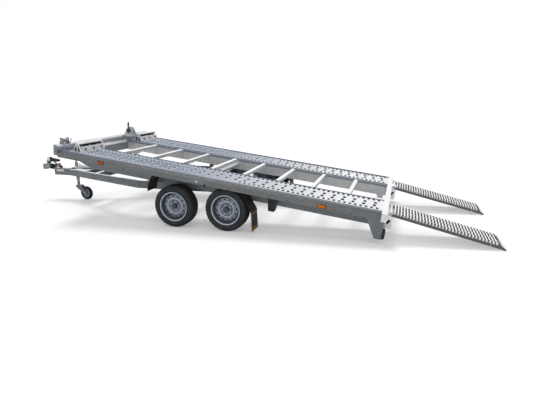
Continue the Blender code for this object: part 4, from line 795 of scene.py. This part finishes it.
def rim_mesh():
    """Return the mesh of one rim with its vents, nuts and valve, at the origin and facing +Y."""
    vents = circle((0.0, 0.0), VENT_CIRCLE, VENT_COUNT, 180.0 / VENT_COUNT - 90.0)
    cutters = [rod((x, 0.030, z), (x, 0.060, z), VENT_RADIUS, 14) for x, z in vents]
    body = cut_shape(turned(rim_outline(), steps=RIM_SEGMENTS), cutters)
    # Painted highlight on the lip and the disc's raised ring, painted shade in the recess between disc and
    # lip; the middle of the hub is dark too
    for face in body.faces:
        middle = face.calc_center_median()
        reach = math.hypot(middle.x, middle.z)
        if (reach > 0.164 or 0.083 < reach < 0.100) and middle.y > 0.045:
            face.material_index = 1
        elif (reach > 0.145 or reach < 0.034) and middle.y > 0.03:
            face.material_index = 4
    shapes = Shapes([body])
    # Painted shade: dark discs inside the vents
    for x, z in vents:
        shapes.add(rod((x, 0.040, z), (x, 0.044, z), VENT_RADIUS - 0.0005, 14), 3)
    for x, z in circle((0.0, 0.0), STUD_CIRCLE, STUD_COUNT, -90.0):
        shapes.add(rod((x, 0.033, z), (x, 0.038, z), 0.0135, 20))
        shapes.add(rod((x, 0.037, z), (x, 0.050, z), 0.0105, 6, 0.0100), 2)
        shapes.add(rod((x, 0.049, z), (x, 0.053, z), 0.0060, 12, 0.0045), 2)
    # Painted shade: thin dark discs stand for the holes between the nuts
    for x, z in circle((0.0, 0.0), HOLE_CIRCLE, STUD_COUNT, 180.0 / STUD_COUNT - 90.0):
        shapes.add(rod((x, 0.033, z), (x, 0.0348, z), 0.0065, 12), 3)
    shapes.add(rod((0.0, 0.046, 0.151), (0.0, 0.070, 0.140), 0.0042, 12, 0.0030), 3)
    return mesh_of(together(shapes))


def build_wheels():
    """Dress the four wheels."""
    mesh = rim_mesh()
    looks = ("wheel", "wheel_edge", "bolt", "gap", "wheel_well")
    for end in ("front", "rear"):
        for side_name, side in SIDES:
            build_tyre(end, side_name, side)
            rim = bmesh.new()
            rim.from_mesh(mesh)
            place = Matrix.Translation((AXLE_X[end], WHEEL_Y, WHEEL_RADIUS))
            moved(rim, place @ Matrix.Rotation(RIM_TURN[end], 4, "Y"))
            name = f"{end}_{side_name}"
            piece("steel_rim_" + name, [rim], looks, "wheel_" + name, ("rim_" + name,),
                  30.0, side)
    bpy.data.meshes.remove(mesh)


def build_ramp(side_name, side):
    """Ramp: shallow cheeks with teeth, bent cross ribs over lengthwise bars, and a sloping lip."""
    low, half = -RAMP_BELOW_AXIS, RAMP_HALF_WIDTH
    top, crest = 0.004, RAMP_ABOVE_AXIS + 0.004
    end = -RAMP_LENGTH
    lip = end + 0.062
    joint = end + 0.154
    cheek = [(0.016, top), (end + 0.058, top), (end, low + 0.010), (end, low), (0.006, low), (0.016, -0.012)]
    shapes = Shapes()
    for y, foot, mark in ((half - 0.006, half - 0.0205, half), (-half, -half + 0.0005, -half - 0.0006)):
        shapes.add(prism(cheek, y, y + 0.006))
        shapes.add(box((joint + 0.002, foot, low), (-0.02, foot + 0.02, low + 0.004)))
        shapes.add(box((joint - 0.003, mark, low), (joint + 0.003, mark + 0.0006, -0.010)), 1)
    for i in range(int((RAMP_LENGTH - 0.10) / RAMP_RIB_PITCH)):
        x = -0.036 - i * RAMP_RIB_PITCH
        line = []
        for j in range(RAMP_RIB_BENDS + 1):
            sway = RAMP_RIB_SWAY if j % 2 else -RAMP_RIB_SWAY
            line.append((x + sway, (half - 0.004) * (2 * j / RAMP_RIB_BENDS - 1)))
        rib = [(a + RAMP_RIB_HALF_WIDTH, b) for a, b in line]
        rib += [(a - RAMP_RIB_HALF_WIDTH, b) for a, b in reversed(line)]
        shapes.add(prism(rib, crest - 0.010, crest - 0.001, "Z"), 2)
        tooth = [(x - 0.009, top - 0.001), (x + 0.009, top - 0.001)]
        tooth += arc((x, crest - 0.009), 0.009, 0, 180, 6)
        for y in (-half, half - 0.008):
            shapes.add(prism(tooth, y, y + 0.008), 1)
    for i in range(RAMP_BARS):
        y = (half - 0.010) * (2 * i / (RAMP_BARS - 1) - 1)
        shapes.add(box((lip, y - 0.002, low + 0.008), (-0.026, y + 0.002, crest - 0.008)))
    slope = [(lip, crest - 0.002), (end + 0.002, low + 0.013), (end + 0.004, low + 0.008),
             (lip, crest - 0.007)]
    shapes.add(prism(slope, -half + 0.0005, half - 0.0005), 1)
    for y in (-half, half - 0.010):
        shapes.add(rod((0, y, 0), (0, y + 0.010, 0), 0.021, 24), 1)
    hinge = BED @ Vector((RAMP_HINGE_U, side * RAMP_CENTRE_Y, RAMP_HINGE_W))
    reach = math.hypot(RAMP_LENGTH, RAMP_BELOW_AXIS)
    droop = math.asin(hinge.z / reach) - math.atan2(RAMP_BELOW_AXIS, RAMP_LENGTH)
    ramp = moved(together(shapes), Matrix.Translation(hinge) @ Matrix.Rotation(-droop, 4, "Y"))
    # Painted light and shade: cheeks and bars in the shaded channel zinc, teeth, joint marks and lip in the
    # sunlit zinc, ribs with shaded sides and lit tops
    piece("ramp_grating_" + side_name, [ramp], ("channel", "zinc_painted_sunlit", "grate"), "ramp_" + side_name,
          ("ramp_" + side_name,))


def build_rail_details():
    """Side markers, a cover plate, bolts, slots drawn as dark pads of painted shade and a strip of painted
    shade beside the tread on the side rails.
    """
    face = DECK_HALF_WIDTH
    for side_name, side in SIDES:
        lenses, metal = Shapes(), Shapes()
        for index, (u, w) in enumerate(((3.455, -0.046), (0.63, -0.052))):
            metal.add(pad(u, w, 0.046, 0.021, face, 0.004, 0.0015), 1)
            # Painted light: the front marker gets the amber and the rear one a brighter copy of it
            lenses.add(pad(u, w, 0.041, 0.0175, face + 0.003, 0.009, 0.004), index)
        piece("side_markers_" + side_name, lenses, ("amber", "marker_painted_light"), "bed", side=side)
        metal.add(pad(2.125, -0.045, 0.085, 0.015, face, 0.003, 0.0012), 4)
        metal.add(bolt((2.125, face + 0.003, -0.045), (0, 1, 0), 0.0095, 0.007))
        metal.add(rod((2.02, face - 0.002, -0.0765), (2.02, face + 0.007, -0.0765), 0.012, 20), 1)
        for u in (0.10, 1.42, 2.92, 3.98):
            metal.add(bolt((u, face, -0.062), (0, 1, 0), 0.006, 0.004), 2)
        # Painted shade: a dark strip beside the tread, in the fold's dark blue on the right-hand rail and
        # the edge grey on the left
        metal.add(soft_box((0.005, 0.955, -0.002), (4.105, 0.983, 0.008), 0.002), 3 if side < 0 else 4)
        # Painted shade: dark pads stand for the slots
        for u in (0.32, 1.02, 1.72, 2.42, 3.12, 3.82):
            metal.add(pad(u, -0.068, 0.013, 0.0035, face - 0.001, 0.0016, 0.0005), 1)
        piece("rail_fittings_" + side_name, metal, ("bright", "gap", "zinc", "fold", "edge"), side=side)


def build_lamps():
    """Rear lamps: a round black body, its rim and a domed red lens, as (radius, depth) from the face."""
    y, w, face = 0.985, -0.235, -0.0403
    profiles = (
        (((0.0, 0.0), (0.060, 0.0), (0.060, 0.021), (0.055, 0.0262), (0.0, 0.0262)), False, 0),
        (((0.047, 0.025), (0.054, 0.025), (0.053, 0.030), (0.048, 0.030)), True, 0),
        (((0.0, 0.034), (0.020, 0.0335), (0.036, 0.0315), (0.046, 0.0275), (0.046, 0.024), (0.0, 0.024)),
         False, 1),
    )
    for side_name, side in SIDES:
        shapes = Shapes()
        for profile, closed, index in profiles:
            shape = turned([(radius, face - depth) for radius, depth in profile], "X", 40, closed)
            shapes.add(shifted(shape, (0, y, w)), index)
        piece("lamp_" + side_name, shapes, ("black", "red"), "bed", ("rear_lamp_" + side_name,),
              side=side)


def build_rear_fittings():
    """Slots in the latch plates, drawn as thin dark sheets of painted shade, pins, bolts and end caps of the
    rear beam.
    """
    shapes = Shapes()
    slot = arc((-0.088, -0.093), 0.0125, 31, 211, 8) + arc((-0.072, -0.120), 0.0125, 211, 391, 8)
    for _, side in SIDES:
        ramp_y = side * RAMP_CENTRE_Y
        # Painted shade: thin dark sheets stand for the slots
        for y in (ramp_y + 0.251, ramp_y + 0.2444):
            shapes.add(prism(slot, y, y + 0.0006), 1)
        for out in (-1.0, 1.0):
            shapes.add(bolt((RAMP_HINGE_U, ramp_y + out * 0.199, RAMP_HINGE_W), (0, out, 0), 0.010, 0.006))
        low, high = sorted((side * 1.045, side * 1.047))
        shapes.add(box((-0.0585, low, -0.0885), (-0.0015, high, -0.0015)), 2)
    for y in (-0.40, -0.10, 0.10, 0.40):
        shapes.add(bolt((-0.060, y, -0.045), (-1, 0, 0), 0.008, 0.005))
    piece("rear_fittings", shapes, ("bolt", "gap", "zinc_painted_sunlit"))


def build_mudguard_details():
    """Amber bands and rivets on the flaps behind the wheels."""
    foot, head = Vector((1.385, -0.520)), Vector((1.425, -0.292))
    run = (head - foot).normalized()
    back = Vector((-run.y, run.x))
    inner, outer = 0.796, 1.013
    bands = (
        (0.012, 0.021, inner + 0.010, outer - 0.010), (0.196, 0.205, inner + 0.010, outer - 0.010),
        (0.036, 0.042, inner + 0.018, outer - 0.018), (0.012, 0.205, inner + 0.010, inner + 0.015),
        (0.012, 0.205, outer - 0.015, outer - 0.010),
    )
    for side_name, side in SIDES:
        shapes = Shapes()
        for start, end, low, high in bands:
            corners = ((start, 0.0002), (end, 0.0002), (end, 0.0014), (start, 0.0014))
            shapes.add(prism([tuple(foot + run * a + back * b) for a, b in corners], low, high))
        for i in range(4):
            y = inner + 0.03 + i * (outer - inner - 0.06) / 3
            place = head + run * 0.012 + back * 0.0002
            tip = place + back * 0.003
            shapes.add(rod((place.x, y, place.y), (tip.x, y, tip.y), 0.006, 12), 1)
        piece("flap_bands_" + side_name, shapes, ("amber_band", "black"), "bed", side=side)


def build_wheel_stop(side_name, middle):
    """Wheel stop: folded foot with openings, round top bar, arched end frames and clamp screws."""
    rear, front, bar_u, bar_w = 3.855, 3.985, 3.923, 0.0995
    y0, y1 = middle - 0.24, middle + 0.24
    foot = [(rear, SEAT), (rear + 0.022, 0.060), (front - 0.022, 0.060), (front, SEAT)]
    shapes = Shapes()
    shapes.add(prism(bent_sheet(foot, SHEET), y0 + 0.012, y1 - 0.012), 3)
    # Painted shade: a dark plate under the top bar
    shapes.add(box((bar_u - 0.002, y0 + 0.012, 0.058), (bar_u + 0.002, y1 - 0.012, 0.088)), 1)
    for y in (y0 + 0.170, y1 - 0.170):
        shapes.add(box((rear + 0.026, y - 0.020, 0.056), (front - 0.026, y + 0.020, 0.0598)))
        shapes.add(rod((bar_u, y, 0.058), (bar_u, y, bar_w), 0.007, 12), 1)
        shapes.add(bolt((rear + 0.012, y, 0.030), (-0.94, 0, 0.34), 0.009, 0.008))
    shapes.add(rod((bar_u, y0 + 0.006, bar_w), (bar_u, y1 - 0.006, bar_w), 0.0155, 24))
    arch = [(rear, SEAT), (bar_u - 0.018, 0.107), (bar_u - 0.010, 0.115), (bar_u + 0.010, 0.115),
            (bar_u + 0.018, 0.107), (front, SEAT), (front - 0.012, SEAT), (bar_u + 0.010, 0.098),
            (bar_u - 0.010, 0.098), (rear + 0.012, SEAT)]
    for y in (y0, y1 - 0.012):
        shapes.add(prism(arch, y, y + 0.012))
        shapes.add(box((bar_u - 0.006, y + 0.002, SEAT), (bar_u + 0.006, y + 0.010, 0.100)))
    for y in (y0 + 0.08, middle, y1 - 0.08):
        # Painted shade: dark discs stand for the foot's openings
        shapes.add(prism(circle((rear + 0.0105, 0.030), 0.016, 16), y - 0.016, y - 0.012), 1)
        shapes.add(rod((bar_u, y, 0.060), (bar_u, y, 0.072), 0.012, 14), 2)
        shapes.add(rod((bar_u, y, 0.070), (bar_u, y, 0.086), 0.006, 10), 1)
    piece("chock_stop_" + side_name, shapes, ("zinc_painted_sunlit", "gap", "bolt", "zinc_pale_painted_light"),
          replaces=("wheel_stop_" + side_name,))


def build_front_details():
    """Bolts, end plates and bent sleeve of the front beam."""
    shapes = Shapes()
    for y in (-0.395, -0.415, 0.395, 0.415):
        for w in (-0.045, -0.085, -0.125):
            shapes.add(bolt((4.0755, y, w), (-1, 0, 0), 0.0065, 0.005))
    for y in (0.735, 0.765):
        shapes.add(bolt((4.110, y, 0.053), (-1, 0, 0), 0.0075, 0.006))
    for _, side in SIDES:
        shapes.add(box((4.112, side * 1.03, -0.058), (4.168, side * 1.0305, 0.071)), 2)
        for w in (-0.035, 0.045):
            shapes.add(bolt((4.140, side * 1.0305, w), (0, side, 0), 0.008, 0.005))
    sleeve = [(4.107, 0.036), (4.107, 0.066), (4.118, 0.0765), (4.168, 0.0765), (4.168, 0.0735),
              (4.120, 0.0735), (4.110, 0.064), (4.110, 0.036)]
    shapes.add(prism(sleeve, 0.70, 0.80), 1)
    piece("front_beam_fittings", shapes, ("bolt", "zinc_pale_painted_light", "web"))


def build_winch_details():
    """Ratchet and crank grip, which turn with the winch, and the round cover's faces and bolts."""
    u, y, w = 4.005, -0.40, 0.158
    ratchet = []
    for low, high in zip(circle((u, w), 0.034, 18), circle((u, w), 0.041, 18, math.degrees(0.05))):
        ratchet += [low, high]
    grip_y = y + 0.0593
    shapes = Shapes()
    shapes.add(prism(ratchet, y + 0.0455, y + 0.0500))
    shapes.add(rod((u, grip_y, 0.236), (u, grip_y, 0.288), 0.0125), 1)
    shapes.add(rod((u, grip_y, 0.232), (u, grip_y, 0.238), 0.0140), 1)
    shapes.add(bolt((u, y + 0.0573, w), (0, 1, 0), 0.010, 0.008))
    piece("winch_ratchet", shapes, ("dark_steel", "black"), "winch")
    cover = (4.011, 0.115)
    shapes = Shapes()
    for face in (y - 0.0445, y - 0.0523):
        shapes.add(prism(circle(cover, 0.0735, 40), face, face + 0.0008), 1)
    for place in circle(cover, 0.062, 6, 30.0):
        shapes.add(bolt((place[0], y - 0.0523, place[1]), (0, -1, 0), 0.005, 0.004))
    for du, dw in ((-0.030, 0.018), (0.030, 0.018), (-0.040, -0.060), (0.060, -0.060)):
        shapes.add(bolt((u + du, y + 0.045, w + dw), (0, 1, 0), 0.005, 0.004))
    piece("winch_cover", shapes, ("bolt", "zinc_pale_painted_light"))


def build_roller_details():
    """Pin ends, ribs and hook of the rope roller on the front beam's left end."""
    u, y, w = 4.140, 0.865, 0.1183
    shapes = Shapes()
    for out in (1.0, -1.0):
        shapes.add(bolt((u, y + out * 0.056, w), (0, out, 0), 0.011, 0.007))
    for i in range(5):
        place = y - 0.036 + i * 0.018
        rib = turned([(0.0283, place - 0.003), (0.0300, place), (0.0283, place + 0.003)], "Y", 28)
        shapes.add(shifted(rib, (u, 0.0, w)))
    hook = [(u - 0.020, y - 0.075, 0.090), (u - 0.032, y - 0.085, 0.112), (u - 0.030, y - 0.098, 0.132),
            (u - 0.016, y - 0.106, 0.140), (u - 0.004, y - 0.104, 0.128)]
    shapes.add(tube(hook, 0.006))
    shapes.add(rod((u - 0.020, y - 0.075, 0.0735), (u - 0.020, y - 0.075, 0.094), 0.010, 14))
    piece("roller_fittings", shapes, ("bolt",))


def build_chassis_details():
    """Bolts of the cross members, axle saddles and a blank plate on the drawbar."""
    closing = (RAIL_HALF_WIDTH - RAIL_NOSE_HALF_WIDTH) / (RAIL_NOSE_X - RAIL_KINK_X)
    slant = math.atan(closing)
    shapes = Shapes()
    for _, side in SIDES:
        for x in (DECK_REAR_X + 2.29, DECK_REAR_X + 3.05, DECK_REAR_X + 4.15, JOCKEY_X):
            y = RAIL_HALF_WIDTH - closing * max(x - RAIL_KINK_X, 0.0)
            out = (0, side, 0) if x < RAIL_KINK_X else (math.sin(slant), side * math.cos(slant), 0)
            for z in (RAIL_BOTTOM + 0.026, RAIL_TOP - 0.026):
                shapes.add(bolt((x, side * y, z), out, 0.008, 0.006))
        for hub in AXLE_X.values():
            x = hub + 0.150
            for dx in (-0.055, 0.055):
                place = (x + dx, side * (RAIL_HALF_WIDTH - 0.02), RAIL_BOTTOM)
                shapes.add(bolt(place, (0, 0, -1), 0.009, 0.010))
            low, high = sorted((side * RAIL_HALF_WIDTH, side * (RAIL_HALF_WIDTH - 0.042)))
            shapes.add(box((x - 0.075, low, RAIL_BOTTOM - 0.0004), (x + 0.075, high, RAIL_BOTTOM - 0.0002)))
    piece("chassis_bolts", shapes, ("zinc",), "chassis")
    plate = pad(RAIL_NOSE_X + 0.1675, RAIL_BOTTOM + 0.0735, 0.0675, 0.0185, RAIL_NOSE_HALF_WIDTH,
                0.0016, 0.0006)
    piece("blank_plate", [plate], ("plate",), "chassis")


def build_coupling_details():
    """Shaft gaiter, handbrake boot and button, release handle and the head's bolts."""
    folds, length = 9, 0.1250
    profile = [(0.020, 0.0)]
    for i in range(folds):
        for radius, share in ((0.0385, 0.15), (0.0415, 0.45), (0.0385, 0.75), (0.0345, 0.98)):
            profile.append((radius, length * (i + share) / folds))
    gaiter = turned(profile + [(0.020, length)], "X", 32, True)
    piece("shaft_gaiter", [shifted(gaiter, (COUPLING_X - 0.002, 0, SHAFT_Z))], ("jockey_tyre",), "chassis")
    lever_y = RAIL_NOSE_HALF_WIDTH - 0.02
    boot = turned([(0.0, 0.0), (0.020, 0.0), (0.024, 0.010), (0.019, 0.030), (0.013, 0.050), (0.0, 0.050)],
                  "X", 20)
    foot = Matrix.Translation((COUPLING_X - 0.13, lever_y, 0.512))
    shapes = Shapes()
    shapes.add(moved(boot, foot @ Matrix.Rotation(-math.atan2(0.073, 0.118), 4, "Y")))
    shapes.add(pad(COUPLING_X - 0.108, 0.5565, 0.020, 0.0215, lever_y + 0.004, 0.016, 0.005), 1)
    piece("handbrake_boot", shapes, ("black", "amber"), "chassis")
    head_x = COUPLING_X + 0.1233
    front = [(0.052, 0.6003), (0.022, 0.660), (-0.020, 0.660), (-0.020, 0.6003)]
    grip = [(-0.020, 0.660), (-0.060, 0.644), (-0.190, 0.624), (-0.196, 0.604), (-0.175, 0.588),
            (-0.020, 0.588)]
    base = [(0.0, 0.5553), (0.045, 0.5553), (0.052, 0.6003), (-0.020, 0.6003), (-0.020, 0.588)]
    shapes = Shapes()
    for index, (outline, half) in enumerate(((front, 0.015), (grip, 0.016), (base, 0.013))):
        shapes.add(prism([(head_x + 0.020 + a, b) for a, b in outline], -half, half), index)
    piece("release_handle", shapes, ("bright", "black", "dark_steel"), "chassis",
          ("coupling_handle",))
    shapes = Shapes()
    for dx in (0.03, 0.075):
        for _, side in SIDES:
            shapes.add(bolt((head_x + dx, side * 0.034, SHAFT_Z + 0.012), (0, side, 0), 0.0095, 0.008))
    shapes.add(rod((head_x + 0.105, -0.040, 0.538), (head_x + 0.105, 0.040, 0.538), 0.008, 14))
    piece("coupling_bolts", shapes, ("bolt",), "chassis")


def build_jockey_details():
    """Jockey wheel with a moulded rim, its axle's nuts, the tube's rings, clamp and crank."""
    width = 0.0225
    hub = (JOCKEY_X - JOCKEY_TRAIL, 0.0, JOCKEY_RADIUS)
    crown = [(0.066, width * 0.82), (0.071, width), (0.088, width), (0.097, width * 0.86),
             (0.1030, width * 0.62), (JOCKEY_RADIUS, width * 0.25)]
    disc = [(0.0087, width), (0.020, width), (0.0215, width * 0.9), (0.0225, width * 0.45),
            (0.056, width * 0.40), (0.060, width * 0.78), (0.0665, width * 0.84)]
    shapes = Shapes()
    for index, (half, steps) in enumerate(((crown, 56), (disc, 48))):
        shapes.add(turned(half + [(r, -y) for r, y in reversed(half)], "Y", steps, True), index)
    for i in range(6):
        rib = box((0.020, -width * 0.62, -0.0035), (0.060, width * 0.62, 0.0035))
        shapes.add(moved(rib, Matrix.Rotation(math.tau * i / 6, 4, "Y")), 1)
    piece("jockey_wheel_dressed", [shifted(together(shapes), hub)], ("jockey_tyre", "wheel"), "jockey_wheel",
          ("jockey_wheel",))
    nuts = [bolt((hub[0], out * 0.0385, hub[2]), (0, out, 0), 0.0105, 0.008) for out in (1.0, -1.0)]
    piece("jockey_axle_nuts", nuts, ("bolt",), "jockey_fork")
    crank = [(JOCKEY_X, 0, 0.606), (JOCKEY_X, 0, 0.614), (JOCKEY_X - 0.050, 0, 0.616),
             (JOCKEY_X - 0.085, 0, 0.616)]
    shapes = Shapes()
    shapes.add(tube(crank, 0.0055))
    shapes.add(rod((JOCKEY_X - 0.080, 0, 0.612), (JOCKEY_X - 0.080, 0, 0.650), 0.0095, 16), 1)
    shapes.add(rod((JOCKEY_X, 0.03, 0.470), (JOCKEY_X - 0.06, 0.095, 0.480), 0.006, 12))
    for bore, outside, half, z in ((0.0245, 0.033, 0.02, 0.508), (0.0243, 0.0275, 0.006, 0.308)):
        ring = turned([(bore, -half), (outside, -half), (outside, half), (bore, half)], "Y", 28, True)
        shapes.add(moved(ring, Matrix.Translation((JOCKEY_X, 0, z)) @ Matrix.Rotation(math.pi / 2, 4, "X")))
    piece("jockey_clamp_and_crank", shapes, ("bright", "black"), "chassis")


def build_pivot_plates():
    """Round plates with bolts where the pivot tube meets the inner webs."""
    u, w = 2.18, -0.079
    shapes = Shapes()
    for _, side in SIDES:
        ring = turned([(0.0306, 0.0), (0.058, 0.0), (0.058, 0.004), (0.0306, 0.004)], "Y", 40, True)
        y = TRACK_INNER_Y - 0.0043 if side > 0 else SEAT - TRACK_INNER_Y
        shapes.add(shifted(ring, (u, y, w)))
        for place in circle((u, w), 0.046, 4, 45.0):
            head = (place[0], side * (TRACK_INNER_Y - 0.0043), place[1])
            shapes.add(bolt(head, (0, -side, 0), 0.006, 0.004))
    piece("pivot_plates", shapes, ("zinc_pale_painted_light",), "bed")


def build_floor():
    """Pale floor that keeps the shadow and looks nearly white to the camera."""
    material = bpy.data.materials.new("pale_floor")
    material.use_nodes = True
    tree = material.node_tree
    tree.nodes.clear()
    diffuse = grow(tree, "BsdfDiffuse", {"Color": (0.80, 0.80, 0.81, 1.0)}).outputs["BSDF"]
    light = grow(tree, "Emission", {"Strength": 0.26}).outputs["Emission"]
    both = grow(tree, "AddShader", {0: diffuse, 1: light}).outputs["Shader"]
    seen = grow(tree, "LightPath").outputs["Is Camera Ray"]
    shown = grow(tree, "MixShader", {"Fac": seen, 1: diffuse, 2: both}).outputs["Shader"]
    grow(tree, "OutputMaterial", {"Surface": shown})
    mesh = mesh_of(box((-60.0, -60.0, -0.06), (60.0, 60.0, -0.0005)), "floor")
    mesh.materials.append(material)
    floor = linked("floor", mesh)


def build_surroundings():
    """White surroundings, dimmer as a light than as they are seen and mirrored, and two soft lamps."""
    world = bpy.data.worlds.new("surroundings")
    bpy.context.scene.world = world
    world.use_nodes = True
    tree = world.node_tree
    path = grow(tree, "LightPath").outputs
    rays = {0: path["Is Glossy Ray"], 1: path["Is Transmission Ray"]}
    mirrored = grow(tree, "Math", rays, operation="MAXIMUM").outputs["Value"]
    seen = grow(tree, "Math", {0: path["Is Camera Ray"], 1: mirrored}, operation="MAXIMUM").outputs["Value"]
    strength = grow(tree, "MapRange", {"Value": seen, "To Min": 0.52, "To Max": 1.0}).outputs["Result"]
    feed(tree, tree.nodes["Background"], {"Color": (1.0, 1.0, 1.0, 1.0), "Strength": strength})
    for name, energy, angle, turn in LAMPS:
        lamp = bpy.data.lights.new(name, "SUN")
        lamp.energy = energy
        lamp.angle = math.radians(angle)
        linked(name, lamp).rotation_euler = [math.radians(value) for value in turn]


def build_camera():
    """The photo's camera."""
    flat = math.cos(CAMERA_PITCH)
    forward = Vector((flat * math.cos(CAMERA_YAW), flat * math.sin(CAMERA_YAW), math.sin(CAMERA_PITCH)))
    right = forward.cross(Vector((0, 0, 1))).normalized()
    up = right.cross(forward)
    rolled_right = math.cos(CAMERA_ROLL) * right + math.sin(CAMERA_ROLL) * up
    rolled_up = math.cos(CAMERA_ROLL) * up - math.sin(CAMERA_ROLL) * right
    data = bpy.data.cameras.new("camera")
    data.sensor_width = 36.0
    data.lens = CAMERA_LENS
    camera = linked("camera", data)
    turn = Matrix((rolled_right, rolled_up, -forward)).transposed().to_4x4()
    camera.matrix_world = Matrix.Translation(CAMERA_PLACE) @ turn
    bpy.context.scene.camera = camera
    bpy.context.scene.view_settings.view_transform = "Standard"


dress_nodes()
for side_label, side_sign in SIDES:
    build_track(side_label, side_sign)
    build_ramp(side_label, side_sign)
    build_wheel_stop(side_label, side_sign * 0.6875 - 0.0375)
build_wheels()
build_rail_details()
build_lamps()
build_rear_fittings()
build_mudguard_details()
build_front_details()
build_winch_details()
build_roller_details()
build_chassis_details()
build_coupling_details()
build_jockey_details()
build_pivot_plates()
build_floor()
build_surroundings()
build_camera()

bpy.context.view_layer.update()
